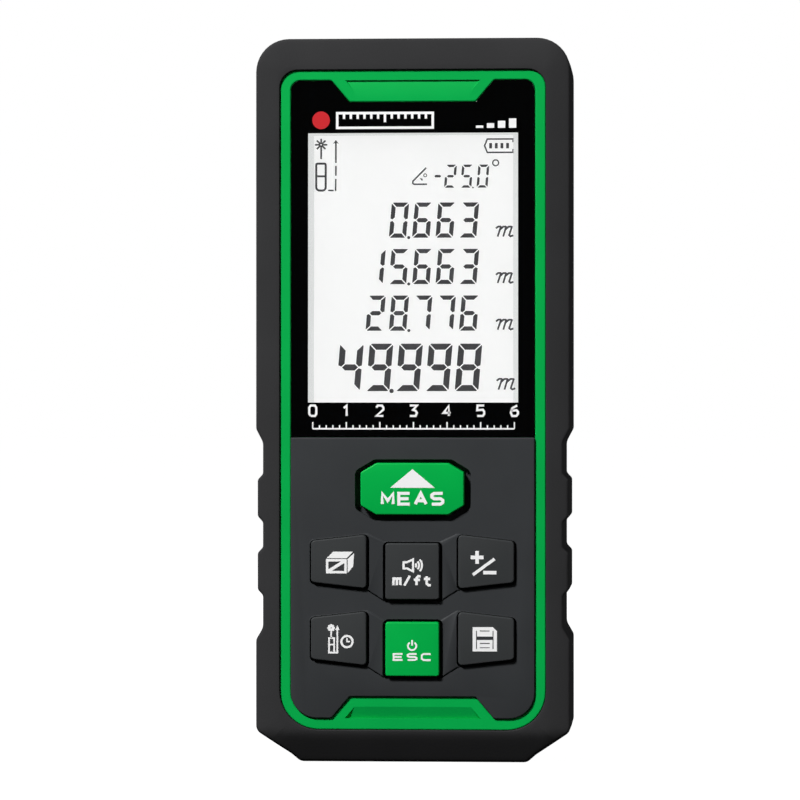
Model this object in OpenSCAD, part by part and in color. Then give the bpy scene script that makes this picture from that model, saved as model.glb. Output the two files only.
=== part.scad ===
// Hand-held laser distance meter, standing on its rear reference face.
// Each part is laid out as a drawing of the front: X across, Y along the body from the reference face
// to the laser end, and Z as depth, with the display on +Z. stand_up() then turns that layout upright,
// so that the length runs up +Z and the display faces -Y. The origin is the middle of the base.

/* [Body] */
// Width across the rubber bumper
body_w = 51.5; // [51.3:0.1:53]
// Length from the rear reference face to the laser end
body_l = 118.5; // [118.3:0.1:120]
// Depth from the back of the bumper to the top of the tallest key
body_t = 27; // [26.8:0.1:28]
// Wall thickness of the rubber bumper
bumper_t = 1.8; // [1.7:0.05:1.9]
// Wall thickness of the two hard cases
case_t = 1.6; // [1.4:0.1:1.7]
// Radius of the two upper corners
corner_r = 5.8; // [5:0.1:6]
// Width of the flat base between the two cut lower corners
base_w = 37.4; // [36:0.2:39]
// Height of the cut lower corners
corner_cut_h = 5.4; // [5:0.1:5.8]
// Depth of the three finger notches in each side
notch_depth = 1.15; // [0.8:0.05:1.3]

/* [Front frame] */
// Width across the visible green frame
frame_w = 43.6; // [43.4:0.1:44.4]
// Width of the green frame's strip
frame_strip = 1.8; // [1.7:0.1:2.2]
// How far the green frame lies below the bumper's face
frame_recess = 0.5; // [0.3:0.1:0.6]
// Width of the two tabs of the frame where they leave its strip
tab_base_w = 26.6; // [25:0.2:28]
// Width of the two tabs at their tips
tab_tip_w = 20.6; // [19:0.2:22]
// How far the tabs reach in from the strip
tab_h = 3.55; // [3:0.05:3.7]

/* [Display] */
// Visible width of the display
display_w = 34.4; // [33:0.2:35]
// Visible height of the display
display_h = 44.05; // [43:0.05:44.6]
// Height of the display's lower edge above the base
display_y = 58.95; // [58.5:0.05:59]
// Height of the window's lower edge above the base
window_y = 53.3; // [53.1:0.1:53.4]
// Thickness of the display window
window_t = 1.2; // [1:0.1:1.2]

/* [Keys] */
// Height of the tallest key, READ, above the bumper's face
read_rise = 1.3; // [1.1:0.1:1.4]
// How far each key travels
key_travel = 0.6; // [0.4:0.1:0.6]
// Gap round each key where it passes through the panel
key_gap = 0.2; // [0.15:0.05:0.25]
// Width of the READ key
read_w = 17; // [16:0.1:17.6]
// Height of the READ key
read_h = 8.5; // [8:0.05:8.6]
// How far the READ key's corners are cut across
read_cut_w = 2.6; // [2.2:0.1:3]
// How far the READ key's corners are cut up
read_cut_h = 1.55; // [1.2:0.05:1.9]
// Width of the two middle keys
middle_w = 8.9; // [8.6:0.1:9]
// Distance of a side key's inner edge from the centre line
side_inner_x = 7.45; // [7.3:0.05:7.6]
// Distance of a side key's outer edge from the centre line
side_outer_x = 16.65; // [16.2:0.05:16.8]
// Height of a side key at its inner edge
side_inner_h = 8.8; // [8.2:0.1:9]
// Height of a side key at its outer edge
side_outer_h = 6.7; // [6:0.1:7]

/* [Optics] */
// Height of the optical axes towards the display from mid depth
optics_z = -3.6; // [-3.7:0.05:-3.5]
// Distance of the receiving lens from the centre line
receiver_x = -6.5; // [-6.8:0.1:-6.2]
// Distance of the laser from the centre line
laser_x = 10; // [9.6:0.1:10.2]
// Radius of the receiving lens
receiver_r = 6.5; // [6.2:0.1:6.6]

/* [Power] */
// Diameter of an AAA cell
cell_d = 10.5; // [10.3:0.1:10.6]
// Length of an AAA cell with its positive nub
cell_l = 44.5; // [44:0.1:44.6]
// Width of the battery cover
cover_w = 25; // [24.8:0.1:25.2]
// Height of the battery cover's lower edge above the base
cover_y = 8; // [7.8:0.1:8.2]
// Height of the battery cover's hinge axis above the base
cover_hinge_y = 63.4; // [63.3:0.1:63.8]

/* [Mounts] */
// Wall radius of the tripod thread, the tapping size of 1/4-20
tripod_r = 2.55; // [2.5:0.05:2.6]
// Usable length of the tripod thread
tripod_l = 6; // [5:0.5:6]
// Height of the tripod thread above the base
tripod_y = 74.5; // [74:0.5:76]
// Radius of the steel bar that the wrist strap loops round
strap_bar_r = 0.8; // [0.7:0.05:0.9]

/* [Hidden] */

$fn = 64;
eps = 0.01;                                 // overlap that keeps a cut clear of a face
big = 200;                                  // larger than the whole object

// Levels through the depth, from the back to the front
back_z = -body_t / 2;
face_z = body_t / 2 - read_rise;            // front face of the bumper and of the key panel
rear_lip_t = 0.5;
rear_panel_z = back_z + rear_lip_t;         // outer face of the rear case
rear_inner_z = rear_panel_z + case_t;       // inner face of the rear case's panel
parting_z = 1;                              // where the front and rear shells meet
lip_t = 1.2;                                // the bumper's lip over the front case
lip_z = face_z - lip_t;
slope_t = 1;                                // the bumper's thickness on its slope over the base
frame_z = face_z - frame_recess;            // visible face of the green frame
plate_z = 9.5;                              // inner face of the front case's plate
pocket_z = 10.5;                            // floor of the key panel's pocket
mask_z = 10.65;                             // floor of the window's pocket
mask_t = 0.15;
window_z = mask_z + mask_t;
board_z = [4.2, 5.4];                       // rear and front faces of the main board
mat_z = [8.4, 9.45];

// The green frame, from its outer to its inner edge
frame_low = 5.4;
frame_high = body_l - 5.15;
frame_r = [6.4, 3];                         // lower and upper corner radii of its outer edge
frame_inner_r = [4.3, 1.6];
inner_half_w = frame_w / 2 - frame_strip;
inner_low = frame_low + 1.9;
inner_high = frame_high - 1.7;

// Finger notches: each is the lower and upper end of its floor, then its lower and upper ramp
notches = [[22.1, 27.35, 2, 1.23], [35.25, 39.35, 1.23, 1.23], [47.25, 52.4, 1.23, 2.2]];

// Centres of the keys above the base
read_y = 44.83;
unit_y = 31.38;
clear_y = 18.68;
upper_side_y = 32.9;
lower_side_y = 20.35;
side_key_x = (side_inner_x + side_outer_x) / 2;
key_centres = [
    [0, read_y], [0, unit_y], [0, clear_y],
    for (side = [-1, 1], y = [upper_side_y, lower_side_y]) [side * side_key_x, y]
];
plateau_rise = 0.2;
plateau_margin = 0.5;
flange_grow = 0.8;
key_foot_z = 8.5;
key_pin_z = 7.3;
switch_top_z = key_pin_z - key_travel - 0.05;

// Screws: distance from the centre line and height above the base
case_screws_at = [[-18.5, 12.5], [18.5, 12.5], [-19.2, body_l - 6.9], [19.2, body_l - 6.9]];
board_screws_at = [[-9, 7.8], [9, 7.8], [-18.6, 52.3], [18.6, 52.3]];
boss_r = 2.7;
screw_r = 1.1;
screw_gap = 0.02;
screw_head_r = 2;
counterbore_z = rear_panel_z + 3.4;

// Battery bay
bay_floor_z = -0.4;
bay_wall = 1;
bay_half_w = 11.2;
bay_y = [9.8, 60.2];
cell_z = bay_floor_z - 0.1 - cell_d / 2;
cell_x = cell_d / 2 + 0.15;
contact_t = 0.4;
spring_l = bay_y[1] - bay_y[0] - 2 * contact_t - cell_l;
cover_gap = 0.2;
cover_t = case_t;
hinge_z = rear_panel_z + cover_t / 2;
tongue_x = [5, 9];
tongue_room_y = cover_hinge_y + 3.6;        // upper end of the chamber that the cover's tongues swing in
tongue_room_z = hinge_z + 3.7;

// Laser end
end_wall_y = body_l - bumper_t - case_t;    // inner face of the case's end wall
block_y = [end_wall_y - 28, end_wall_y - 2.1];
block_half_w = 15.6;
block_half_h = 7.3;

// The cut lower corner, and the strap pocket that sits across it
cut_w = (body_w - base_w) / 2;
cut_angle = atan2(corner_cut_h, cut_w);
strap_slot_w = 5.8;
strap_slot_depth = 5.4;
strap_slot_z = [-10.6, -5.4];
strap_bar_depth = 3;
strap_bar_z = [strap_slot_z[0] - 1.4, strap_slot_z[1] + 1.4];

// ---- Colours ----
charcoal = [0.12, 0.12, 0.125];
green = [0.02, 0.55, 0.22];
black_plastic = [0.05, 0.05, 0.055];
steel = [0.72, 0.72, 0.74];
brass = [0.78, 0.6, 0.25];

// ---- Placing ----
module stand_up() {
    rotate([90, 0, 0]) children();
}

// Extrudes an outline seen from the front, between two depths.
module slab(z0, z1) {
    translate([0, 0, z0]) linear_extrude(z1 - z0) children();
}

// Extrudes an outline drawn in X and depth along the body's length.
module along_body(y0, y1) {
    translate([0, y1, 0]) rotate([90, 0, 0]) linear_extrude(y1 - y0) children();
}

// Extrudes an outline drawn in length and depth across the body.
module across_body(x0, x1) {
    translate([x0, 0, 0]) rotate([90, 0, 90]) linear_extrude(x1 - x0) children();
}

// A cylinder whose axis runs along the body's length.
module rod_along(x, z, y0, y1, r) {
    translate([x, y0, z]) rotate([-90, 0, 0]) cylinder(h = y1 - y0, r = r);
}

module post(at, z0, z1, r) {
    translate([at[0], at[1], z0]) cylinder(h = z1 - z0, r = r);
}

module both_sides() {
    children();
    mirror([1, 0, 0]) children();
}

// ---- Outlines seen from the front ----
module box2(half_w, low, high) {
    translate([-half_w, low]) square([2 * half_w, high - low]);
}

// Rectangle with its own radius for the lower and the upper corners.
module rounded_box(half_w, low, high, r_low, r_high) {
    polygon([
        [-half_w + r_low, low], [half_w - r_low, low], [half_w, low + r_low], [half_w, high - r_high],
        [half_w - r_high, high], [-half_w + r_high, high], [-half_w, high - r_high], [-half_w, low + r_low]
    ]);
    for (side = [-1, 1]) {
        translate([side * (half_w - r_low), low + r_low]) circle(r_low);
        translate([side * (half_w - r_high), high - r_high]) circle(r_high);
    }
}

// Outline of the whole body, moved inwards by inset: round upper corners and straight cut lower ones.
module body_outline(inset) {
    half_w = body_w / 2 - inset;
    high = body_l - inset;
    r = corner_r - inset;
    cut_x = base_w / 2 - inset * sin(cut_angle) / (1 + cos(cut_angle));
    cut_y = corner_cut_h + inset * cos(cut_angle) / (1 + sin(cut_angle));
    polygon([
        [-cut_x, inset], [cut_x, inset], [half_w, cut_y], [half_w, high - r],
        [half_w - r, high], [-half_w + r, high], [-half_w, high - r], [-half_w, cut_y]
    ]);
    for (side = [-1, 1]) translate([side * (half_w - r), high - r]) circle(r);
}

module finger_notches() {
    reach = 1;
    for (notch = notches) both_sides() polygon([
        [body_w / 2 + reach, notch[0] - notch[2] * (1 + reach / notch_depth)],
        [body_w / 2 - notch_depth, notch[0]],
        [body_w / 2 - notch_depth, notch[1]],
        [body_w / 2 + reach, notch[1] + notch[3] * (1 + reach / notch_depth)]
    ]);
}

module frame_outline() {
    rounded_box(frame_w / 2, frame_low, frame_high, frame_r[0], frame_r[1]);
}

module tab_outline(root_y, direction) {
    polygon([
        [-tab_base_w / 2, root_y], [tab_base_w / 2, root_y],
        [tab_tip_w / 2, root_y + direction * tab_h], [-tab_tip_w / 2, root_y + direction * tab_h]
    ]);
}

// Everything inside the green strip, less its two tabs.
module inside_frame() {
    difference() {
        rounded_box(inner_half_w, inner_low, inner_high, frame_inner_r[0], frame_inner_r[1]);
        tab_outline(inner_high, -1);
        tab_outline(inner_low, 1);
    }
}

module window_outline() {
    intersection() {
        inside_frame();
        box2(big, window_y, big);
    }
}

module panel_outline() {
    intersection() {
        inside_frame();
        box2(big, -big, window_y - 0.05);
    }
}

// ---- Key outlines, each grown by a margin on every side ----
module read_outline(grow) {
    half_w = read_w / 2 + grow;
    half_h = read_h / 2 + grow;
    cut_x = read_cut_w + grow * 0.3;
    cut_y = read_cut_h + grow * 0.3;
    translate([0, read_y]) polygon([
        for (corner = [[1, -1], [1, 1], [-1, 1], [-1, -1]])
            for (first = [0, 1])
                let (across = (corner[0] * corner[1] > 0) == (first == 1))
                across
                    ? [corner[0] * (half_w - cut_x), corner[1] * half_h]
                    : [corner[0] * half_w, corner[1] * (half_h - cut_y)]
    ]);
}

module middle_outline(y, h, grow) {
    box2(middle_w / 2 + grow, y - h / 2 - grow, y + h / 2 + grow);
}

module side_outline(side, y, grow) {
    x0 = side_inner_x - grow;
    x1 = side_outer_x + grow;
    inner = side_inner_h / 2 + grow;
    outer = side_outer_h / 2 + grow;
    polygon([
        [side * x0, y - inner], [side * x1, y - outer], [side * x1, y + outer], [side * x0, y + inner]
    ]);
}

unit_h = 9.25;
clear_h = 8.9;

module all_key_outlines(grow) {
    read_outline(grow);
    middle_outline(unit_y, unit_h, grow);
    middle_outline(clear_y, clear_h, grow);
    for (side = [-1, 1], y = [upper_side_y, lower_side_y]) side_outline(side, y, grow);
}

// Wing-shaped plateau that a row of three keys stands on.
module plateau_outline(side_y, middle_y, middle_h) {
    m = plateau_margin;
    right = [
        [middle_w / 2 + m, middle_y - middle_h / 2 - m], [side_inner_x - m, side_y - side_inner_h / 2 - m],
        [side_outer_x + m, side_y - side_outer_h / 2 - m], [side_outer_x + m, side_y + side_outer_h / 2 + m],
        [side_inner_x - m, side_y + side_inner_h / 2 + m], [middle_w / 2 + m, middle_y + middle_h / 2 + m]
    ];
    polygon([each right, for (i = [len(right) - 1:-1:0]) [-right[i][0], right[i][1]]]);
}

// ---- Openings that several parts share ----
// Rounded opening at the laser end, drawn in X and depth.
module end_opening(half_w, half_h) {
    r = 2.5;
    translate([0, optics_z]) rounded_box(half_w, -half_h, half_h, r, r);
}

module end_cut() {
    along_body(end_wall_y - eps, body_l + 1) end_opening(18.3, 7.2);
}

// Places its children on the cut lower corner: X runs along the cut and Y runs into the body.
module at_cut_corner() {
    translate([base_w / 2 + cut_w / 2, corner_cut_h / 2, 0]) rotate([0, 0, cut_angle]) children();
}

module strap_slot() {
    at_cut_corner() translate([-strap_slot_w / 2, -3, strap_slot_z[0]])
        cube([strap_slot_w, strap_slot_depth + 3, strap_slot_z[1] - strap_slot_z[0]]);
}

// The strap bar, which stands across the slot and ends below z.
module strap_bar_shape(r, z) {
    at_cut_corner() translate([0, strap_bar_depth, strap_bar_z[0]]) cylinder(h = z - strap_bar_z[0], r = r);
}

// Everything in front of the long slope over the base, moved in by depth.
module base_slope(depth) {
    drop = 3;
    rise = 5;
    back = depth / cos(atan2(drop, rise));
    across_body(-big, big) polygon([
        [-1, face_z - drop * (rise + 1) / rise - back], [2 * rise, face_z + drop - back], [-1, face_z + drop]
    ]);
}

// Slopes on the bumper's front edges: a long one over the base and short ones elsewhere.
module front_slopes() {
    edge = 1.1;
    base_slope(0);
    across_body(-big, big) polygon([
        [body_l - edge, face_z + eps], [body_l + 1, face_z - edge - 1], [body_l + 1, face_z + eps]
    ]);
    both_sides() along_body(-1, body_l + 1) polygon([
        [body_w / 2 - edge, face_z + eps], [body_w / 2 + 1, face_z - edge - 1], [body_w / 2 + 1, face_z + eps]
    ]);
}

module rear_slopes() {
    edge = 1.2;
    across_body(-big, big) polygon([[edge, back_z - eps], [-1, back_z + edge + 1], [-1, back_z - eps]]);
    across_body(-big, big) polygon([
        [body_l - edge, back_z - eps], [body_l + 1, back_z + edge + 1], [body_l + 1, back_z - eps]
    ]);
    both_sides() along_body(-1, body_l + 1) polygon([
        [body_w / 2 - edge, back_z - eps], [body_w / 2 + 1, back_z + edge + 1], [body_w / 2 + 1, back_z - eps]
    ]);
}

// ---- Casing ----
module front_bumper() {
    color(charcoal) stand_up() difference() {
        slab(parting_z, face_z) difference() {
            body_outline(0);
            finger_notches();
        }
        difference() {
            slab(parting_z - 1, lip_z) body_outline(bumper_t);
            base_slope(slope_t);
        }
        slab(lip_z - 1, face_z + 1) frame_outline();
        front_slopes();
        end_cut();
    }
}

module rear_bumper() {
    color(charcoal) stand_up() difference() {
        slab(back_z, parting_z) difference() {
            body_outline(0);
            finger_notches();
        }
        slab(rear_panel_z, parting_z + 1) body_outline(bumper_t);
        slab(back_z - 1, rear_panel_z + 1) rounded_box(21.6, 5.2, body_l - 4.4, 4, 3);
        rear_slopes();
        end_cut();
        strap_slot();
    }
}

// Sloping recess in one of the green tabs: deepest at the strip and level near the tab's tip, with its
// ends in line with the tab's own.
module tab_recess(root_y, direction, half_w) {
    depth = 0.5;
    run = 1.9;
    tip_half_w = half_w - run * (tab_base_w - tab_tip_w) / 2 / tab_h;
    intersection() {
        across_body(-half_w, half_w) polygon([
            [root_y, frame_z - depth], [root_y + direction * run, frame_z],
            [root_y + direction * run, frame_z + 1], [root_y, frame_z + 1]
        ]);
        slab(frame_z - 2, frame_z + 2) polygon([
            [-half_w, root_y], [half_w, root_y],
            [tip_half_w, root_y + direction * run], [-tip_half_w, root_y + direction * run]
        ]);
    }
}

module front_case() {
    color(green) stand_up() difference() {
        union() {
            difference() {
                union() {
                    slab(plate_z, lip_z) body_outline(bumper_t);
                    slab(parting_z, plate_z + eps) difference() {
                        body_outline(bumper_t);
                        body_outline(bumper_t + case_t);
                    }
                }
                base_slope(slope_t);
            }
            slab(lip_z - eps, frame_z) frame_outline();
            for (at = case_screws_at) post(at, parting_z, plate_z + eps, boss_r);
            for (at = board_screws_at) post(at, board_z[1], plate_z + eps, 1.5);
        }
        slab(mask_z, face_z) window_outline();
        slab(plate_z - 1, mask_z + 1) box2(display_w / 2 + 0.5, display_y - 0.5, display_y + display_h + 0.5);
        slab(pocket_z, face_z) panel_outline();
        slab(plate_z - 1, pocket_z + 1) all_key_outlines(key_gap);
        for (at = case_screws_at) post(at, parting_z - 1, parting_z + 6, screw_r + screw_gap);
        for (at = board_screws_at) post(at, board_z[1] - 1, board_z[1] + 3.2, 0.8 + screw_gap);
        tab_recess(inner_high, -1, 11.5);
        tab_recess(inner_low, 1, 11.7);
        end_cut();
    }
}

// Solid block inside the cut corner, which the strap slot is sunk in and the strap bar is pressed into.
module strap_block() {
    intersection() {
        slab(rear_panel_z, strap_bar_z[1] + 0.2) body_outline(bumper_t);
        at_cut_corner() translate([-4.6, -1, rear_panel_z - 1]) cube([9.2, strap_slot_depth + 2.4, 20]);
    }
}

module rear_case_solid() {
    slab(rear_panel_z, rear_inner_z) body_outline(bumper_t);
    slab(rear_panel_z, parting_z) difference() {
        body_outline(bumper_t);
        body_outline(bumper_t + case_t);
    }
    for (at = case_screws_at) post(at, rear_panel_z + eps, parting_z, boss_r);
    slab(rear_inner_z - eps, rear_inner_z + 1.3)
        box2(bay_half_w + 3, cover_y - 2.8, tongue_room_y + bay_wall);
    slab(rear_inner_z, bay_floor_z + bay_wall)
        box2(bay_half_w + bay_wall, bay_y[0] - bay_wall, bay_y[1] + bay_wall);
    slab(rear_inner_z, tongue_room_z + bay_wall)
        box2(bay_half_w + bay_wall, bay_y[1], tongue_room_y + bay_wall);
    post([0, tripod_y], rear_inner_z - eps, rear_panel_z + tripod_l + 2.2, 6);
    for (side = [-1, 1]) post([side * 12.5, block_y[0] - 3.6], rear_inner_z - eps, optics_z - 5.4, 2.2);
    strap_block();
}

module rear_case() {
    opening_low = cover_y - cover_gap;
    opening_high = cover_hinge_y + cover_t / 2 + cover_gap;
    color(black_plastic) stand_up() difference() {
        rear_case_solid();
        slab(rear_panel_z - 1, rear_inner_z + 0.1) {
            box2(cover_w / 2 + cover_gap, opening_low, opening_high);
            box2(4.3, opening_low - 1.6, opening_low + 1);
        }
        slab(rear_inner_z - 1, bay_floor_z) box2(bay_half_w, bay_y[0], bay_y[1]);
        slab(rear_inner_z, tongue_room_z) box2(bay_half_w, bay_y[1] + bay_wall, tongue_room_y);
        for (at = case_screws_at) {
            post(at, rear_panel_z - 1, counterbore_z, screw_head_r + 0.3);
            post(at, rear_panel_z - 1, parting_z + 1, screw_r + 0.15);
        }
        post([0, tripod_y], rear_panel_z - 1, rear_panel_z + tripod_l + 1, 4.2);
        for (side = [-1, 1]) post([side * 12.5, block_y[0] - 3.6], rear_inner_z, optics_z, 0.8 + screw_gap);
        strap_slot();
        strap_bar_shape(strap_bar_r + 0.01, strap_bar_z[1] + 1);
        slab(parting_z - 0.7, parting_z + 1) difference() {
            body_outline(bumper_t + 0.45);
            body_outline(bumper_t + 1.15);
        }
        end_cut();
    }
}

module case_gasket() {
    color([0.2, 0.2, 0.2]) stand_up() difference() {
        slab(parting_z - 0.7, parting_z) difference() {
            body_outline(bumper_t + 0.5);
            body_outline(bumper_t + 1.1);
        }
        along_body(end_wall_y - 1, body_l) end_opening(18.8, 7.7);
    }
}

module keypad_panel() {
    color(charcoal) stand_up() difference() {
        union() {
            slab(pocket_z, face_z) panel_outline();
            slab(face_z - eps, face_z + plateau_rise) {
                plateau_outline(upper_side_y, unit_y, unit_h);
                plateau_outline(lower_side_y, clear_y, clear_h);
            }
        }
        slab(pocket_z - 1, face_z + 1) all_key_outlines(key_gap);
    }
}

module display_window() {
    color([0.85, 0.9, 0.92, 0.35]) stand_up() slab(window_z, window_z + window_t) window_outline();
}

// Black adhesive frame that holds the window and hides the edges of the display.
module window_mask() {
    color(black_plastic) stand_up() slab(mask_z, window_z) difference() {
        window_outline();
        box2(display_w / 2, display_y, display_y + display_h);
    }
}

// Black plate at the laser end, with one opening for each lens.
module end_bezel() {
    color(black_plastic) stand_up() difference() {
        union() {
            along_body(end_wall_y - 0.4, body_l - 0.9) end_opening(18.1, 7);
            along_body(end_wall_y - 0.7, end_wall_y - 0.02) end_opening(19, 7.6);
        }
        rod_along(receiver_x, optics_z, block_y[1], body_l, receiver_r - 0.5);
        rod_along(laser_x, optics_z, block_y[1], body_l, 2.6);
    }
}

// Cover that hooks in at its upper edge, with a snap finger at its lower edge.
module battery_cover() {
    half_w = cover_w / 2;
    color(black_plastic) stand_up() difference() {
        union() {
            slab(rear_panel_z, rear_inner_z) box2(half_w, cover_y, cover_hinge_y);
            across_body(-half_w, half_w) translate([cover_hinge_y, hinge_z]) circle(cover_t / 2);
            for (side = [-1, 1]) across_body(
                side > 0 ? tongue_x[0] : -tongue_x[1], side > 0 ? tongue_x[1] : -tongue_x[0]
            ) cover_tongue_profile();
            across_body(-4, 4) snap_finger_profile();
        }
        for (line = [0:4]) slab(rear_panel_z - 1, rear_panel_z + 0.35)
            box2(5 - line * 0.7, cover_y + 2.4 + line * 1.1, cover_y + 2.9 + line * 1.1);
    }
}

module cover_tongue_profile() {
    polygon([
        [cover_hinge_y - 0.6, rear_inner_z - 0.3], [cover_hinge_y + 0.5, rear_inner_z - 0.3],
        [cover_hinge_y + 0.6, rear_inner_z + 0.15], [cover_hinge_y + 2.6, rear_inner_z + 0.15],
        [cover_hinge_y + 2.6, rear_inner_z + 1.1], [cover_hinge_y - 0.6, rear_inner_z + 1.1]
    ]);
}

// Finger that springs under the case's edge, drawn as it stands when it is pressed to open the cover.
module snap_finger_profile() {
    polygon([
        [cover_y + eps, rear_panel_z], [cover_y - 1.4, rear_panel_z], [cover_y - 1.4, rear_panel_z + 1],
        [cover_y - 0.2, rear_panel_z + 1.3], [cover_y - 0.2, rear_inner_z], [cover_y + eps, rear_inner_z]
    ]);
}

// ---- Keys ----
module key_body(at, top_z) {
    color(charcoal) stand_up() {
        slab(key_foot_z, top_z) children(0);
        slab(key_foot_z, mat_z[1] - 0.05) children(1);
        post(at, key_pin_z, key_foot_z + eps, 1.3);
    }
}

module read_key() {
    color(green) key_body([0, read_y], face_z + read_rise) {
        read_outline(0);
        read_outline(flange_grow);
    }
}

module middle_key(y, h) {
    key_body([0, y], face_z + 1.15) {
        middle_outline(y, h, 0);
        middle_outline(y, h, flange_grow);
    }
}

module side_key(side, y) {
    key_body([side * side_key_x, y], face_z + 1) {
        side_outline(side, y, 0);
        side_outline(side, y, flange_grow);
    }
}

module unit_key() {
    middle_key(unit_y, unit_h);
}

module clear_key() {
    color(green) middle_key(clear_y, clear_h);
}

module area_volume_key() {
    side_key(-1, upper_side_y);
}

module plus_minus_key() {
    side_key(1, upper_side_y);
}

module timer_key() {
    side_key(-1, lower_side_y);
}

module memory_key() {
    side_key(1, lower_side_y);
}

// Silicone sheet under the front case that carries the seven keys.
module keypad_mat() {
    color(charcoal) stand_up() slab(mat_z[0], mat_z[1]) difference() {
        box2(19.2, 9.9, 50.6);
        all_key_outlines(flange_grow + 0.2);
        for (at = case_screws_at) translate(at) circle(boss_r + 0.3);
    }
}

module key_switches() {
    half = 2.3;
    color(steel) stand_up() for (at = key_centres) {
        slab(board_z[1], board_z[1] + 0.9) translate([at[0] - half, at[1] - half]) square(2 * half);
        post(at, board_z[1] + 0.9 - eps, switch_top_z, 0.9);
    }
}

// ---- Display ----
lcd_y = [display_y - 2.9, display_y + display_h + 2.9];

module lcd_glass() {
    color([0.86, 0.88, 0.86]) stand_up() slab(8.2, 9.3) box2(19, lcd_y[0], lcd_y[1]);
}

module lcd_backlight() {
    color("white") stand_up() slab(6.2, 8.15) box2(18.9, lcd_y[0] + 0.1, lcd_y[1] - 0.1);
}

module lcd_frame() {
    color(black_plastic) stand_up() difference() {
        slab(board_z[1] + 0.05, plate_z - 0.1) box2(20.6, lcd_y[0] - 1.4, lcd_y[1] + 1.4);
        slab(6.15, plate_z + 1) box2(19.1, lcd_y[0] - 0.1, lcd_y[1] + 0.1);
    }
}

// Film cable that leaves the glass over the frame's edge and drops to the board.
module lcd_flex() {
    low = lcd_y[0] - 1.75;
    film = 0.15;
    color([0.75, 0.45, 0.12]) stand_up() across_body(-9, 9) polygon([
        [low, board_z[1] + 0.02], [low + 0.3, board_z[1] + 0.02], [low + 0.3, board_z[1] + 0.02 + film],
        [low + film, board_z[1] + 0.02 + film], [low + film, plate_z - 0.1 + eps],
        [lcd_y[0] + 1, plate_z - 0.1 + eps], [lcd_y[0] + 1, plate_z - eps], [low, plate_z - eps]
    ]);
}

// ---- Electronics ----
module main_board() {
    color([0.03, 0.3, 0.14]) stand_up() slab(board_z[0], board_z[1]) difference() {
        intersection() {
            body_outline(bumper_t + case_t + 0.5);
            box2(big, -big, end_wall_y - 11);
        }
        for (i = [0, 1]) translate(case_screws_at[i]) circle(boss_r + 0.4);
        for (at = board_screws_at) translate(at) circle(1);
    }
}

module processor_chip() {
    color([0.08, 0.08, 0.08]) stand_up() slab(board_z[0] - 1.4, board_z[0]) translate([-14, 66]) square(7);
}

// Capacitors, crystals and regulators: centre across, centre along, width, length and height of each.
module board_components() {
    chips = [
        [4, 80, 3.2, 2.5, 1.2], [12, 84, 2, 1.2, 0.9], [15.5, 84, 2, 1.2, 0.9], [-2, 68, 5, 3.2, 1.1],
        [-16, 80, 1.6, 3.2, 1], [-12, 80, 1.6, 3.2, 1], [-8, 80, 1.6, 3.2, 1], [16, 62, 3, 3, 1.3],
        [16, 50, 2, 3.6, 1.6], [-16, 50, 2, 3.6, 1.6], [16, 40, 2.6, 1.6, 1], [-16, 40, 2.6, 1.6, 1],
        [-16, 30, 2.6, 1.6, 1], [16, 30, 2.6, 1.6, 1]
    ];
    color([0.55, 0.45, 0.3]) stand_up() for (c = chips)
        slab(board_z[0] - c[4], board_z[0])
            translate([c[0] - c[2] / 2, c[1] - c[3] / 2]) square([c[2], c[3]]);
}

module buzzer() {
    at = [8, 68.5];
    color(black_plastic) stand_up() difference() {
        post(at, board_z[0] - 2.6, board_z[0], 4.2);
        post(at, board_z[0] - 3, board_z[0] - 1.9, 0.8);
    }
}

// ---- Optics ----
module optics_block() {
    color([0.3, 0.3, 0.32]) stand_up() difference() {
        union() {
            along_body(block_y[0], block_y[1]) translate([0, optics_z])
                square([2 * block_half_w, 2 * block_half_h], center = true);
            for (side = [-1, 1]) translate([side * 12.5 - 2.6, block_y[0] - 6.2, optics_z - 5.4])
                cube([5.2, 6.3, 1.6]);
        }
        rod_along(receiver_x, optics_z, block_y[0] + 9, block_y[1] + 1, receiver_r - 1);
        rod_along(receiver_x, optics_z, block_y[1] - 2.6, block_y[1] + 1, receiver_r + 0.05);
        rod_along(receiver_x, optics_z, block_y[0] - 1, block_y[0] + 10, 3.1);
        rod_along(laser_x, optics_z, block_y[0] - 1, block_y[1] + 1, 3.5);
        for (side = [-1, 1]) post([side * 12.5, block_y[0] - 3.6], optics_z - 6, optics_z, 0.95);
    }
}

module laser_barrel() {
    color(brass) stand_up() difference() {
        rod_along(laser_x, optics_z, block_y[0] + 4, block_y[1] - 1.4, 3.48);
        rod_along(laser_x, optics_z, block_y[0] + 6, block_y[1], 2.3);
        rod_along(laser_x, optics_z, block_y[0] + 3, block_y[0] + 7, 1.8);
    }
}

module laser_diode() {
    color(steel) stand_up() {
        rod_along(laser_x, optics_z, block_y[0] + 2.6, block_y[0] + 3.98, 2.8);
        rod_along(laser_x, optics_z, block_y[0] + 3.9, block_y[0] + 5.8, 1.7);
        for (side = [-1, 0, 1])
            rod_along(laser_x + side * 1.1, optics_z, block_y[0] - 1.5, block_y[0] + 2.7, 0.22);
    }
}

module collimator_lens() {
    color([0.8, 0.88, 0.95, 0.5]) stand_up()
        rod_along(laser_x, optics_z, block_y[1] - 5.5, block_y[1] - 3.5, 2.28);
}

module laser_glass() {
    color([0.8, 0.88, 0.95, 0.5]) stand_up()
        rod_along(laser_x, optics_z, block_y[1] - 1.2, block_y[1] - 0.1, 3.46);
}

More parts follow.
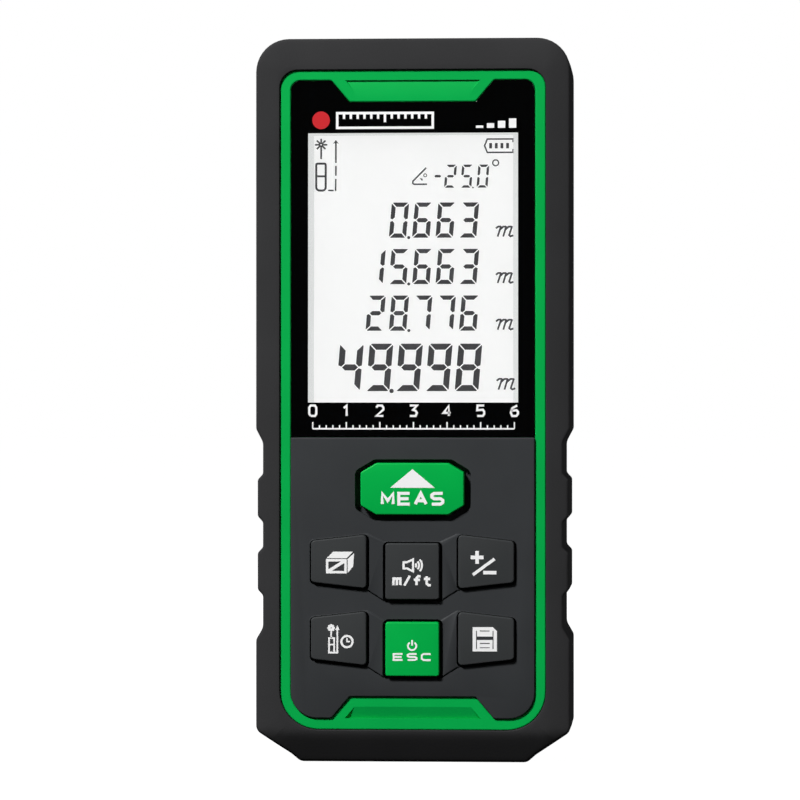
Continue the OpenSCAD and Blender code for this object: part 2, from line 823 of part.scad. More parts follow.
// Plano-convex lens: a disc cut from a sphere, with its curved side to the front.
module receiver_lens() {
    sphere_r = 16;
    rim = block_y[1] - 0.3;
    sag = sphere_r - sqrt(sphere_r * sphere_r - receiver_r * receiver_r);
    color([0.8, 0.88, 0.95, 0.5]) stand_up() intersection() {
        rod_along(receiver_x, optics_z, block_y[1] - 2.5, block_y[1] + 3, receiver_r);
        translate([receiver_x, rim + sag - sphere_r, optics_z]) sphere(sphere_r);
    }
}

module receiver_board() {
    color([0.03, 0.3, 0.14]) stand_up() along_body(block_y[0] - 1.3, block_y[0] - 0.1)
        translate([receiver_x - 3.2, optics_z - 6.8]) square([6.4, 13]);
}

module light_sensor() {
    color(steel) stand_up() {
        rod_along(receiver_x, optics_z, block_y[0] - 0.1, block_y[0] + 0.8, 2.9);
        rod_along(receiver_x, optics_z, block_y[0] + 0.7, block_y[0] + 3.2, 2.3);
    }
}

// Film cable from the receiver's board up to the main board.
module receiver_flex() {
    color([0.75, 0.45, 0.12]) stand_up() across_body(receiver_x - 2.5, receiver_x + 2.5) polygon([
        [block_y[0] - 1.45, optics_z + 2], [block_y[0] - 1.3, optics_z + 2],
        [block_y[0] - 1.3, board_z[0]], [block_y[0] - 1.45, board_z[0]]
    ]);
}

module optics_screws() {
    for (side = [-1, 1]) color(steel) stand_up() {
        post([side * 12.5, block_y[0] - 3.6], rear_inner_z + 0.2, optics_z - 3.7, 0.8);
        post([side * 12.5, block_y[0] - 3.6], optics_z - 3.8, optics_z - 2.8, 1.6);
    }
}

// ---- Power ----
// An AAA cell with its nub towards the laser end, or turned end for end.
module cell(x, low, nub_up) {
    nub_l = 0.9;
    nub_r = 1.9;
    body_low = nub_up ? low : low + nub_l;
    nub_low = nub_up ? low + cell_l - nub_l - eps : low;
    color([0.15, 0.35, 0.2]) stand_up() {
        rod_along(x, cell_z, body_low, body_low + cell_l - nub_l, cell_d / 2);
        rod_along(x, cell_z, nub_low, nub_low + nub_l + eps, nub_r);
    }
}

module battery_left() {
    cell(-cell_x, bay_y[0] + contact_t + spring_l, true);
}

module battery_right() {
    cell(cell_x, bay_y[0] + contact_t, false);
}

// Conical coil as a tube swept along a helix, from its wide foot up to its narrow end.
module coil_spring(l, foot_r, tip_r, wire_r, turns) {
    steps = 12 * turns;
    sides = 5;
    function centre(i) = let (t = i / steps, r = foot_r + (tip_r - foot_r) * t)
        [r * cos(360 * turns * t), r * sin(360 * turns * t), wire_r + (l - 2 * wire_r) * t];
    function ring(i) = let (a = 360 * turns * i / steps)
        [for (j = [0:sides - 1]) let (b = 360 * j / sides)
            centre(i) + wire_r * [cos(b) * cos(a), cos(b) * sin(a), sin(b)]];
    polyhedron(
        points = [for (i = [0:steps]) each ring(i)],
        faces = concat(
            [for (i = [0:steps - 1], j = [0:sides - 1])
                [i * sides + j, i * sides + (j + 1) % sides, (i + 1) * sides + (j + 1) % sides,
                 (i + 1) * sides + j]],
            [[for (j = [sides - 1:-1:0]) j], [for (j = [0:sides - 1]) steps * sides + j]]
        )
    );
}

module battery_springs() {
    coil_l = spring_l - 0.1;
    color(steel) stand_up() {
        translate([-cell_x, bay_y[0] + contact_t + 0.05, cell_z]) rotate([-90, 0, 0])
            coil_spring(coil_l, 3.6, 2.4, 0.3, 4);
        translate([cell_x, bay_y[1] - contact_t - 0.05, cell_z]) rotate([90, 0, 0])
            coil_spring(coil_l, 3.6, 2.4, 0.3, 4);
    }
}

// The two separate plates at the upper end of the bay.
module battery_end_contacts() {
    color(steel) stand_up() for (side = [-1, 1])
        along_body(bay_y[1] - contact_t, bay_y[1])
            translate([side * cell_x, cell_z]) square(8.4, center = true);
}

// The one plate at the lower end that joins both cells in series.
module battery_bridge_contact() {
    color(steel) stand_up() along_body(bay_y[0], bay_y[0] + contact_t)
        translate([0, cell_z]) square([2 * cell_x + 8.4, 8.4], center = true);
}

// ---- Mounts and fasteners ----
module tripod_bush() {
    color(brass) stand_up() difference() {
        post([0, tripod_y], rear_panel_z, rear_panel_z + tripod_l + 1, 4.2);
        post([0, tripod_y], rear_panel_z - 1, rear_panel_z + tripod_l, tripod_r);
    }
}

module strap_bar() {
    color(steel) stand_up() strap_bar_shape(strap_bar_r, strap_bar_z[1]);
}

module cross_slot(at, z) {
    for (turn = [0, 90]) translate([at[0], at[1], z]) rotate([0, 0, turn]) cube([2.2, 0.5, 1], center = true);
}

module case_screws() {
    for (at = case_screws_at) color(steel) stand_up() difference() {
        union() {
            post(at, counterbore_z - 1.5, counterbore_z, screw_head_r);
            post(at, counterbore_z - eps, parting_z + 5.5, screw_r);
        }
        cross_slot(at, counterbore_z - 1.5);
    }
}

module board_screws() {
    for (at = board_screws_at) color(steel) stand_up() difference() {
        union() {
            post(at, board_z[0] - 1, board_z[0], 1.6);
            post(at, board_z[0] - eps, board_z[1] + 3, 0.8);
        }
        cross_slot(at, board_z[0] - 1.2);
    }
}

front_case();
rear_case();
front_bumper();
rear_bumper();
keypad_panel();
display_window();
window_mask();
end_bezel();
case_gasket();
battery_cover();
read_key();
area_volume_key();
unit_key();
plus_minus_key();
timer_key();
clear_key();
memory_key();
keypad_mat();
key_switches();
lcd_glass();
lcd_backlight();
lcd_frame();
lcd_flex();
main_board();
processor_chip();
board_components();
buzzer();
optics_block();
laser_barrel();
laser_diode();
collimator_lens();
laser_glass();
receiver_lens();
receiver_board();
light_sensor();
receiver_flex();
battery_left();
battery_right();
battery_springs();
battery_end_contacts();
battery_bridge_contact();
tripod_bush();
strap_bar();
case_screws();
board_screws();
optics_screws();
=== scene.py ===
"""Laser distance meter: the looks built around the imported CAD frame.

Lengths are millimetres in the layout of the CAD source: x across, y along the body from the reference
face to the laser end, z towards the display. at() turns a layout point into the frame's metres.
"""
import math

import bmesh
import bpy
import numpy as np
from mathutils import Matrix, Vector


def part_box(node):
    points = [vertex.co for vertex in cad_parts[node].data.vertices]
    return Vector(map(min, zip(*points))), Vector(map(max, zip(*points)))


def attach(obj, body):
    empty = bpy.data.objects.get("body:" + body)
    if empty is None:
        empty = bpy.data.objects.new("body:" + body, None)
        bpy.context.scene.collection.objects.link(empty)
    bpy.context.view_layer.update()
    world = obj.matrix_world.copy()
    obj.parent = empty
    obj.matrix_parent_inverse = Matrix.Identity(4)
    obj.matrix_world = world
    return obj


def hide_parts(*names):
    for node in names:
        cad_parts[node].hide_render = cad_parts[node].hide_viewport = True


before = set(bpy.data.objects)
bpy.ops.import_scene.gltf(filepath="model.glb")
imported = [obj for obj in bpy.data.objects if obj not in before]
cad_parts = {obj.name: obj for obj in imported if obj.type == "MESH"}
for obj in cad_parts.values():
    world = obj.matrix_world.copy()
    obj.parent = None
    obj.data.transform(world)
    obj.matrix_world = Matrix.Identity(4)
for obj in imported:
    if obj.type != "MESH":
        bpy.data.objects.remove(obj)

MM = 0.001
SCENE = bpy.context.scene
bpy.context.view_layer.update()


def at(x, y, z):
    """A layout point in the frame's metres."""
    return Vector((x, -z, y)) * MM


def span(node):
    """Lowest and highest corner of a CAD node in the layout."""
    low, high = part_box(node)
    return Vector((low.x, low.z, -high.y)) / MM, Vector((high.x, high.z, -low.y)) / MM


# ---- Sizes read from the frame ----
PARTING_Z = span("front_bumper")[0].z
HALF_W, BODY_L, FACE_Z = span("front_bumper")[1]
BACK_Z = span("rear_bumper")[0].z
FRAME_Z = span("front_case")[1].z
BUMPER_T = HALF_W - span("front_case")[1].x
REAR_PANEL_Z = span("rear_case")[0].z
INNER_LOW, POCKET_Z = span("keypad_panel")[0].yz
INNER_HALF, PANEL_HIGH, PLATEAU_Z = span("keypad_panel")[1]
WINDOW_LOW, WINDOW_Z = span("display_window")[0].yz
INNER_HIGH, WINDOW_TOP = span("display_window")[1].yz
LCD_Z = span("lcd_glass")[1].z
LCD_MARGIN = 2.9  # the display's glass beyond its visible area, at each end
DISPLAY_LOW = span("lcd_glass")[0].y + LCD_MARGIN
DISPLAY_HIGH = span("lcd_glass")[1].y - LCD_MARGIN
DISPLAY_HALF = 17.2
OPTICS_Z = (span("optics_block")[0].z + span("optics_block")[1].z) / 2

# ---- Sizes of the visible shapes ----
CASE_T = 1.6
LIP_Z = FACE_Z - 1.2  # underside of the bumper's lip
PLATE_Z = 9.5  # inner face of the front case's plate
RING_Z = FRAME_Z + 0.08  # the front of the green frame
FRAME_HALF = INNER_HALF + 1.8  # the opening of the bumper round the green frame
FRAME_LOW, FRAME_HIGH = INNER_LOW - 1.9, INNER_HIGH + 1.7
SLOPE_START = 5  # the base slope begins this far above the base
SLOPE_FALL = 0.6  # its fall in depth for each mm along the body
SLOPE_BLEND = 0.3  # how softly it begins
CROWN = 0.65  # fall of the bumper's face from the frame to its edge
FRONT_EDGE, REAR_EDGE = 0.45, 1.2  # rounding of the bumper's outer edges
LIP_EDGE = 0.16  # rounding of the bumper's edge over the green frame
SEAM = 0.18  # half the width of the groove between the two bumpers
REAR_DRAFT = 0.1  # how far the rear bumper's walls lean in at the back
NOTCH_DEPTH = 1.16
LUG_DEPTH = 0.27  # how far the lugs between the notches stand back
# Each finger notch as its four corners, lowest first: height, depth and radius
NOTCHES = (
    ((20.1, 0.0, 1.3), (22.1, NOTCH_DEPTH, 2.0), (27.35, NOTCH_DEPTH, 0.8), (28.3, LUG_DEPTH, 0.8)),
    ((34.3, LUG_DEPTH, 0.8), (35.25, NOTCH_DEPTH, 0.8), (39.35, NOTCH_DEPTH, 0.8), (40.3, LUG_DEPTH, 0.8)),
    ((46.3, LUG_DEPTH, 0.8), (47.25, NOTCH_DEPTH, 0.8), (52.4, NOTCH_DEPTH, 2.0), (54.6, 0.0, 1.3)),
)
CORNER_R = 5.45  # the two corners at the laser end
BASE_HALF, CUT_HIGH = 18.7, 5.4  # inner and upper end of the cut corners

KEY_GAP = 0.2  # between a key and its hole
KEY_FLANGE = 0.8  # how far a key's foot reaches under the panel
KEY_EDGE, GREEN_EDGE = 0.18, 0.2  # rounding of the charcoal and of the green keys
KEY_SINK = 0.25  # the keys' tops stand this far under the CAD keys' tops
GROOVE_DEPTH = 1.4  # of the grooves round the keys
PLATEAU_MARGIN = 0.15  # how far the plateaus reach beyond their keys
TOP_REACH = 0.12  # how far the side keys' upper edges reach into their gap
RISE = PLATEAU_Z - FACE_Z  # height of the plateaus over the panel
READ_Y, UNIT_Y, CLEAR_Y, UPPER_Y, LOWER_Y = 44.83, 31.38, 18.68, 32.9, 20.35
MIDDLE_HALF, UNIT_HALF, CLEAR_HALF = 4.45, 4.625, 4.45  # the middle keys: half width, half heights
SIDE_IN, SIDE_OUT = 7.45, 16.65  # the side keys' inner and outer edge
SIDE_IN_HALF, SIDE_OUT_HALF = 4.4, 3.35  # half heights of those edges
TAB_BASE, TAB_TIP, TAB_H = 13.3, 10.3, 3.55  # the green tabs: half widths and height

# ---- Outlines: a closed list of corners (x, y, radius), anticlockwise seen from the front ----
ARC_STEP = math.radians(9)


def both(right):
    """Whole outline from the corners of its right side, lowest first."""
    return right + [(-x, y, r) for x, y, r in reversed(right)]


def left_of(direction):
    return Vector((-direction.y, direction.x))


def outline(corners, inset=0.0):
    """Points of an outline with its corners rounded, moved inwards by inset. The count never changes."""
    sharp = [Vector(corner[:2]) for corner in corners]
    count = len(sharp)
    moved = []
    for i, point in enumerate(sharp):
        before = left_of((point - sharp[i - 1]).normalized())
        after = left_of((sharp[(i + 1) % count] - point).normalized())
        moved.append(point + (before + after) * inset / (1 + before.dot(after)))
    points = []
    for i, point in enumerate(moved):
        before = (point - moved[i - 1]).normalized()
        after = (moved[(i + 1) % count] - point).normalized()
        turn = math.atan2(before.x * after.y - before.y * after.x, before.dot(after))
        side = 1 if turn > 0 else -1
        radius = max(corners[i][2] - side * inset, 0.04)
        start = point - before * radius * math.tan(abs(turn) / 2)
        centre = start + left_of(before) * radius * side
        steps = max(2, math.ceil(abs(turn) / ARC_STEP))
        for k in range(steps + 1):
            a = turn * k / steps
            spoke = start - centre
            points.append(centre + Vector((
                spoke.x * math.cos(a) - spoke.y * math.sin(a),
                spoke.x * math.sin(a) + spoke.y * math.cos(a),
            )))
    return points


def rectangle(half_w, low, high, radius):
    return both([(half_w, low, radius), (half_w, high, radius)])


PLAIN_BODY = both([(BASE_HALF, 0, 1.5), (HALF_W, CUT_HIGH, 1.2), (HALF_W, BODY_L, CORNER_R)])


def notched_body():
    right = [(BASE_HALF - 0.1, 0, 1.5), (BASE_HALF + 1.4, 1.35, 0.8), (HALF_W, CUT_HIGH - 0.2, 1.6)]
    for notch in NOTCHES:
        right += [(HALF_W - depth, y, radius) for y, depth, radius in notch]
    return both(right + [(HALF_W, BODY_L, CORNER_R)])


BODY = notched_body()
FRAME = both([(FRAME_HALF, FRAME_LOW, 6.4), (FRAME_HALF, FRAME_HIGH, 3.0)])
LOWER_TAB = [(TAB_TIP, INNER_LOW + TAB_H, 0.5), (TAB_BASE, INNER_LOW, 0.6)]
UPPER_TAB = [(TAB_BASE, INNER_HIGH, 0.6), (TAB_TIP, INNER_HIGH - TAB_H, 0.5)]
INSIDE = both(LOWER_TAB + [(INNER_HALF, INNER_LOW, 4.3), (INNER_HALF, INNER_HIGH, 1.6)] + UPPER_TAB)
PANEL = both(LOWER_TAB + [(INNER_HALF, INNER_LOW, 4.3), (INNER_HALF, PANEL_HIGH, 0.2)])
WINDOW = both([(INNER_HALF, WINDOW_LOW, 0.2), (INNER_HALF, INNER_HIGH, 1.6)] + UPPER_TAB)
REAR_OPENING = both([(21.6, 5.2, 4.0), (21.6, BODY_L - 4.4, 3.0)])


# ---- Rays from the body's middle line, which tie the rings of a shell together ----
SPINE_LOW, SPINE_HIGH = 30, 90
SPINE = SPINE_HIGH - SPINE_LOW
RAY_STEP = 2.5


def ray_number(point):
    """The place of a point's ray in the order of rays round the body."""
    if point.y > SPINE_HIGH:
        return SPINE + math.atan2(point.y - SPINE_HIGH, point.x)
    if point.y < SPINE_LOW:
        return 2 * SPINE + 2 * math.pi + math.atan2(point.y - SPINE_LOW, point.x)
    return point.y - SPINE_LOW if point.x > 0 else SPINE + math.pi + SPINE_HIGH - point.y


def ray(number):
    """Start and direction of the ray with that number."""
    if number < SPINE:
        return (0, SPINE_LOW + number), (1, 0)
    if number < SPINE + math.pi:
        return (0, SPINE_HIGH), (math.cos(number - SPINE), math.sin(number - SPINE))
    if number < 2 * SPINE + math.pi:
        return (0, SPINE_HIGH - (number - SPINE - math.pi)), (-1, 0)
    return (0, SPINE_LOW), (math.cos(number - 2 * SPINE), math.sin(number - 2 * SPINE))


def shell_rays(*outlines):
    """Rays through every point of the outlines, and through points along their straight stretches."""
    numbers = []
    for points in outlines:
        for i, point in enumerate(points):
            gap = points[(i + 1) % len(points)] - point
            pieces = max(1, math.ceil(gap.length / RAY_STEP))
            numbers += [ray_number(point + gap * k / pieces) for k in range(pieces)]
    numbers.sort()
    kept = []
    for number in numbers:
        if not kept or number - kept[-1] > 0.0006:
            kept.append(number)
    return [ray(number) for number in kept]


def cast(rays, points):
    """Where each ray meets an outline."""
    start = np.array([tuple(p) for p in points])
    edge = np.roll(start, -1, axis=0) - start
    met = []
    for origin, direction in rays:
        gap = start - np.array(origin)
        across = direction[0] * edge[:, 1] - direction[1] * edge[:, 0]
        across[np.abs(across) < 1e-12] = 1e-12
        reach = (gap[:, 0] * edge[:, 1] - gap[:, 1] * edge[:, 0]) / across
        share = (gap[:, 0] * direction[1] - gap[:, 1] * direction[0]) / across
        hit = reach[(share > -1e-6) & (share < 1 + 1e-6) & (reach > 0)].max()
        met.append(Vector(origin) + Vector(direction) * hit)
    return met


# ---- Meshes ----
def ring(points, z):
    """Outline points at a depth, which may be a function of x and y."""
    return [at(p[0], p[1], z(p[0], p[1]) if callable(z) else z) for p in points]


def skin(rings, closed=False):
    """Vertices and faces of a surface over rings of equal count, capped unless it closes on itself."""
    count = len(rings[0])
    points = [p for one in rings for p in one]
    faces = []
    for k in range(len(rings) if closed else len(rings) - 1):
        a, b = k * count, (k + 1) % len(rings) * count
        faces += [(a + i, a + (i + 1) % count, b + (i + 1) % count, b + i) for i in range(count)]
    if not closed:
        faces.append(tuple(reversed(range(count))))
        faces.append(tuple(range(len(points) - count, len(points))))
    return points, faces


def block(corners, levels):
    """Solid over an outline. Each level is its depth and how far the outline is moved inwards there."""
    return skin([ring(outline(corners, inset), z) for z, inset in levels])


def turned(centre, levels):
    """Solid of revolution about the depth axis. Each level is its depth and radius."""
    angles = [math.radians(7.5 * k) for k in range(48)]
    return skin([
        ring([(centre[0] + r * math.cos(a), centre[1] + r * math.sin(a)) for a in angles], z)
        for z, r in levels
    ])


def rounding(radius, steps=5):
    """Quarter round from a side to a face, as (inset, drop below the face)."""
    turns = [math.pi / 2 * k / steps for k in range(steps + 1)]
    return [(radius * (1 - math.cos(a)), radius * (1 - math.sin(a))) for a in turns]


def link_object(name, data):
    made = bpy.data.objects.new(name, data)
    SCENE.collection.objects.link(made)
    return made


def new_mesh(name, points, faces):
    mesh = bpy.data.meshes.new(name)
    mesh.from_pydata(points, [], faces)
    return mesh


def build(name, *parts):
    """Object made of closed parts."""
    points, faces = [], []
    for part_points, part_faces in parts:
        base = len(points)
        points += part_points
        faces += [tuple(base + i for i in face) for face in part_faces]
    mesh = new_mesh(name, points, faces)
    work = bmesh.new()
    work.from_mesh(mesh)
    bmesh.ops.recalc_face_normals(work, faces=work.faces)
    work.to_mesh(mesh)
    work.free()
    return link_object(name, mesh)


def modify(piece, name, kind, **settings):
    """Gives a piece a modifier."""
    modifier = piece.modifiers.new(name, kind)
    for setting, value in settings.items():
        setattr(modifier, setting, value)


def combine(piece, operation, *parts):
    """Exact boolean of a piece with closed parts."""
    tool = build("tool", *parts)
    modify(piece, "combine", "BOOLEAN", operation=operation, solver="EXACT", object=tool)
    result = bpy.data.meshes.new_from_object(piece.evaluated_get(bpy.context.evaluated_depsgraph_get()))
    piece.modifiers.clear()
    piece.data = result
    bpy.data.objects.remove(tool)


# ---- Materials ----
def linear(red, green, blue):
    """Colour from the 0 to 255 values of a screen."""
    return tuple(
        (c / 255 / 12.92 if c <= 10 else ((c / 255 + 0.055) / 1.055) ** 2.4) for c in (red, green, blue)
    ) + (1.0,)


def shaded(colour, share):
    return tuple(c * share for c in colour[:3]) + (1.0,)


class Finish:
    """A material being made. A node's input is given a number, a colour or another node's output."""

    def __init__(self, name):
        self.material = bpy.data.materials.new(name + "_finish")
        self.material.use_nodes = True
        self.tree = self.material.node_tree

    def feed(self, node, inputs):
        for name, value in inputs.items():
            if isinstance(value, bpy.types.NodeSocket):
                self.tree.links.new(value, node.inputs[name])
            else:
                node.inputs[name].default_value = value

    def node(self, kind, inputs, **settings):
        node = self.tree.nodes.new("ShaderNode" + kind)
        for name, value in settings.items():
            setattr(node, name, value)
        self.feed(node, inputs)
        return node

    def surface(self, inputs):
        """Feeds the shader. Returns the material."""
        self.feed(self.tree.nodes["Principled BSDF"], inputs)
        return self.material

    def points(self):
        return self.node("TexCoord", {}).outputs["Object"]

    def mapped(self, change, values):
        return self.node("Mapping", {"Vector": self.points(), change: values}).outputs["Vector"]

    def noise(self, size, detail=3.0, points=None):
        """Noise whose grains are about size mm."""
        inputs = {"Vector": points or self.points(), "Scale": 1 / (size * MM), "Detail": detail}
        return self.node("TexNoise", inputs).outputs["Fac"]

    def ranged(self, value, low=0.0, high=1.0, from_low=0.3, from_high=0.7):
        ends = {"From Min": from_low, "From Max": from_high, "To Min": low, "To Max": high}
        return self.node("MapRange", {"Value": value, **ends}).outputs["Result"]

    def mixed(self, share, first, second):
        node = self.node("Mix", {"Factor": share, "A": first, "B": second}, data_type="RGBA")
        return node.outputs["Result"]

    def bump(self, height, depth):
        return self.node("Bump", {"Height": height, "Distance": depth * MM}).outputs["Normal"]


def moulded(name, colour, roughness, grain=0.25, depth=0.012, variation=0.08, specular=0.5, metallic=0.0,
            stretch=(1, 1, 1)):
    """Moulded or machined surface: fine grain in its height, and slow changes of colour and gloss."""
    finish = Finish(name)
    fine = finish.noise(grain, points=finish.mapped("Scale", stretch))
    share = finish.ranged(finish.noise(grain * 40, 2.0))
    return finish.surface({
        "Base Color": finish.mixed(share, shaded(colour, 1 - variation), shaded(colour, 1 + variation)),
        "Roughness": finish.ranged(fine, roughness - 0.06, roughness + 0.06),
        "Specular IOR Level": specular, "Metallic": metallic, "Normal": finish.bump(fine, depth),
    })


def clear(name, roughness, tint, ior):
    return Finish(name).surface({
        "Base Color": tint, "Roughness": roughness, "IOR": ior, "Transmission Weight": 1.0,
    })


def lit(name, colour, glow, roughness=0.4):
    """Surface that shines by itself, such as a lit display."""
    finish = Finish(name)
    share = finish.ranged(finish.noise(9.0, 1.0))
    return finish.surface({
        "Emission Color": finish.mixed(share, shaded(colour, 0.985), colour), "Emission Strength": glow,
        "Base Color": shaded(colour, 0.2), "Roughness": roughness,
    })


def printed_board(name):
    """Green board with a grid of tracks under its lacquer."""
    finish = Finish(name)
    tracks = finish.node("TexBrick", {
        "Vector": finish.mapped("Rotation", (math.pi / 2, 0, 0)), "Scale": 1 / (9 * MM), "Mortar Size": 0.02,
        "Color1": (0.006, 0.09, 0.035, 1), "Color2": (0.008, 0.11, 0.045, 1), "Mortar": (0.03, 0.24, 0.1, 1),
    }).outputs
    return finish.surface({
        "Base Color": tracks["Color"], "Roughness": 0.35, "Normal": finish.bump(tracks["Fac"], 0.03),
    })


def film_cable(name):
    """Amber film with copper tracks along it."""
    finish = Finish(name)
    inputs = {"Vector": finish.points(), "Scale": 1 / (4 * MM)}
    stripes = finish.node("TexWave", inputs, bands_direction="X").outputs["Fac"]
    share = finish.ranged(stripes, from_low=0.45, from_high=0.55)
    return finish.surface({
        "Base Color": finish.mixed(share, (0.42, 0.13, 0.02, 1), (0.6, 0.26, 0.06, 1)), "Roughness": 0.3,
        "Normal": finish.bump(stripes, 0.02),
    })


def cell_jacket(node_name):
    """Wrapped cell: bare steel at both ends, a pale jacket and a plain green band."""
    finish = Finish(node_name)
    low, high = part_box(node_name)
    height = finish.node("SeparateXYZ", {"Vector": finish.points()}).outputs["Z"]
    ramp = finish.node("ValToRGB", {"Fac": finish.ranged(height, 0, 1, low.z, high.z)})
    ramp.color_ramp.interpolation = "CONSTANT"
    steel, jacket, band = (0.6, 0.6, 0.6, 1), (0.55, 0.56, 0.57, 1), (0.02, 0.2, 0.09, 1)
    bands = ((0.0, steel), (0.03, jacket), (0.8, band), (0.9, jacket), (0.97, steel))
    for i, (start, colour) in enumerate(bands):
        stop = ramp.color_ramp.elements[i] if i < 2 else ramp.color_ramp.elements.new(start)
        stop.position = start
        stop.color = colour
    return finish.surface({
        "Base Color": ramp.outputs["Color"], "Roughness": 0.28, "Metallic": 0.5,
        "Normal": finish.bump(finish.noise(0.6), 0.01),
    })


# The moulded and machined finishes, as the values of moulded() after its name
MOULDED = {
    "green_case": (linear(5, 172, 76), 0.4, 0.3, 0.006, 0.04, 0.1),
    "black_case": (linear(34, 34, 36), 0.5, 0.35, 0.02, 0.1),
    "bumper_rubber": (linear(52, 52, 53), 0.6, 0.3, 0.015, 0.05, 0.03),
    "panel_plastic": (linear(54, 56, 58), 0.5, 0.22, 0.008, 0.04, 0.15),
    "mask_ink": (linear(1, 2, 3), 0.8, 0.2, 0.002, 0.1, 0.0),
    "bezel_black": (linear(22, 22, 24), 0.45, 0.3, 0.01, 0.1, 0.3),
    "gasket_rubber": (linear(45, 45, 45), 0.8, 0.3, 0.02, 0.1, 0.3),
    "cover_plastic": (linear(38, 38, 40), 0.52, 0.3, 0.02, 0.1),
    "key_green": (linear(2, 176, 73), 0.4, 0.22, 0.005, 0.03, 0.1),
    "key_charcoal": (linear(56, 58, 59), 0.5, 0.22, 0.008, 0.04, 0.15),
    "mat_silicone": (linear(90, 92, 95), 0.6, 0.4, 0.02, 0.08, 0.4),
    "switch_steel": ((0.6, 0.6, 0.62, 1), 0.3, 0.3, 0.01, 0.08, 0.5, 1.0),
    "backlight_white": ((0.85, 0.86, 0.85, 1), 0.5, 0.8, 0.01, 0.03),
    "frame_plastic": (linear(30, 30, 30), 0.55, 0.3, 0.015, 0.1),
    "chip_black": ((0.015, 0.015, 0.016, 1), 0.6, 0.15, 0.01, 0.2),
    "component_tan": ((0.36, 0.22, 0.1, 1), 0.5, 0.3, 0.01, 0.25),
    "block_alloy": ((0.3, 0.3, 0.32, 1), 0.45, 0.5, 0.03, 0.12, 0.5, 1.0),
    "barrel_brass": ((0.75, 0.52, 0.2, 1), 0.3, 0.2, 0.01, 0.1, 0.5, 1.0, (1, 1, 6)),
    "diode_gold": ((0.85, 0.6, 0.22, 1), 0.25, 0.2, 0.008, 0.06, 0.5, 1.0),
    "spring_steel": ((0.65, 0.65, 0.66, 1), 0.28, 0.2, 0.01, 0.08, 0.5, 1.0),
    "bush_brass": ((0.72, 0.5, 0.2, 1), 0.34, 0.2, 0.012, 0.1, 0.5, 1.0, (1, 6, 1)),
    "pin_steel": ((0.6, 0.6, 0.62, 1), 0.25, 0.2, 0.008, 0.06, 0.5, 1.0),
    "screw_steel": ((0.35, 0.35, 0.37, 1), 0.35, 0.2, 0.012, 0.1, 0.5, 1.0),
    "print_white": ((0.97, 0.97, 0.97, 1), 0.5, 0.12, 0.003, 0.01, 0.3),
    "print_red": (linear(205, 32, 40), 0.5, 0.12, 0.003, 0.03, 0.3),
}
FINISHES = {name: moulded(name, *values) for name, values in MOULDED.items()}
FINISHES.update({
    "window_clear": clear("window_clear", 0.02, (1, 1, 1, 1), 1.49),
    "lens_glass": clear("lens_glass", 0.0, (0.93, 0.97, 1, 1), 1.52),
    "lcd_glass": lit("lcd_glass", (0.97, 0.975, 0.97, 1), 0.95),
    "segment_grey": lit("segment_grey", linear(72, 72, 74), 0.7, 0.6),
    # Painted shade: a glowing grey for the mask's shadow along the lit display's edges
    "display_shade": lit("display_shade", linear(224, 226, 225), 1.0, 0.5),
    "film_amber": film_cable("film_amber"),
    "board_green": printed_board("board_green"),
})


def place(piece, body, slot_name, finish=None, replaced=(), angle=32):
    """Finishes a new piece: its shading, finish, body and the CAD nodes that it stands for. Its finish is the
    slot name's unless another is given.
    """
    piece.data.shade_smooth()
    piece.data.set_sharp_from_angle(angle=math.radians(angle))
    piece.data.materials.clear()
    piece.data.materials.append(FINISHES[finish or slot_name])
    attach(piece, body)
    if replaced:
        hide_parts(*replaced)


# ---- Casing ----
def slope_drop(y):
    """Fall of the front surface over the base, with a soft start."""
    fall = SLOPE_FALL * (SLOPE_START - y)
    return (fall + math.hypot(fall, SLOPE_BLEND)) / 2


def face_level(drop):
    """Depth of the bumper's front surface, less a drop."""
    def level(x, y):
        across = max(0.0, (abs(x) - FRAME_HALF) / (HALF_W - FRAME_HALF))
        along = max(0.0, (y - FRAME_HIGH) / (BODY_L - FRAME_HIGH))
        share = min(1.0, math.hypot(across, along))
        return FACE_Z - CROWN * (0.5 * share + 0.5 * share ** 2) - slope_drop(y) - drop
    return level


def lip_level(x, y):
    return LIP_Z - slope_drop(y)


def shoulder_level(x, y):
    """The front case's shoulder, just under the bumper's lip."""
    return lip_level(x, y) - 0.03


def end_opening_tool():
    """Cuts the opening at the laser end, with a rounded mouth."""
    half_w, half_h, radius, mouth = 18.3, 7.2, 2.5, 0.5
    inner_y = BODY_L - BUMPER_T - CASE_T - 0.02
    levels = [(inner_y, 0.0), (BODY_L - mouth, 0.0)]
    levels += [(BODY_L - drop, inset) for inset, drop in rounding(mouth)[1:]]
    levels.append((BODY_L + 1, mouth))
    rings = []
    for y, grow in levels:
        corners = rectangle(half_w + grow, OPTICS_Z - half_h - grow, OPTICS_Z + half_h + grow, radius + grow)
        rings.append([at(p.x, y, p.y) for p in outline(corners)])
    return skin(rings)


def strap_slot_tool():
    """Cuts the pocket of the wrist strap into the cut corner, with a flared mouth."""
    middle = Vector(((BASE_HALF + HALF_W) / 2, CUT_HIGH / 2))
    along = Vector((HALF_W - BASE_HALF, CUT_HIGH)).normalized()
    half_w, radius, flare, low_z, high_z = 2.9, 0.6, 0.45, -10.6, -5.4
    rings = []
    for depth, grow in ((-2.0, flare), (0.0, flare), (0.15, 0.25), (0.5, 0.0), (5.4, 0.0)):
        corners = rectangle(half_w + grow, low_z - grow, high_z + grow, radius)
        start = middle + left_of(along) * depth
        rings.append([at(*(start + along * p.x), p.y) for p in outline(corners)])
    return skin(rings)


class Shell:
    """The rings of a shell, all on the same rays."""

    def __init__(self, *outlines):
        self.rays = shell_rays(outline(PLAIN_BODY, BUMPER_T), *outlines)
        self.rings = []

    def add(self, points, *levels):
        met = cast(self.rays, points)
        self.rings += [ring(met, level) for level in levels]


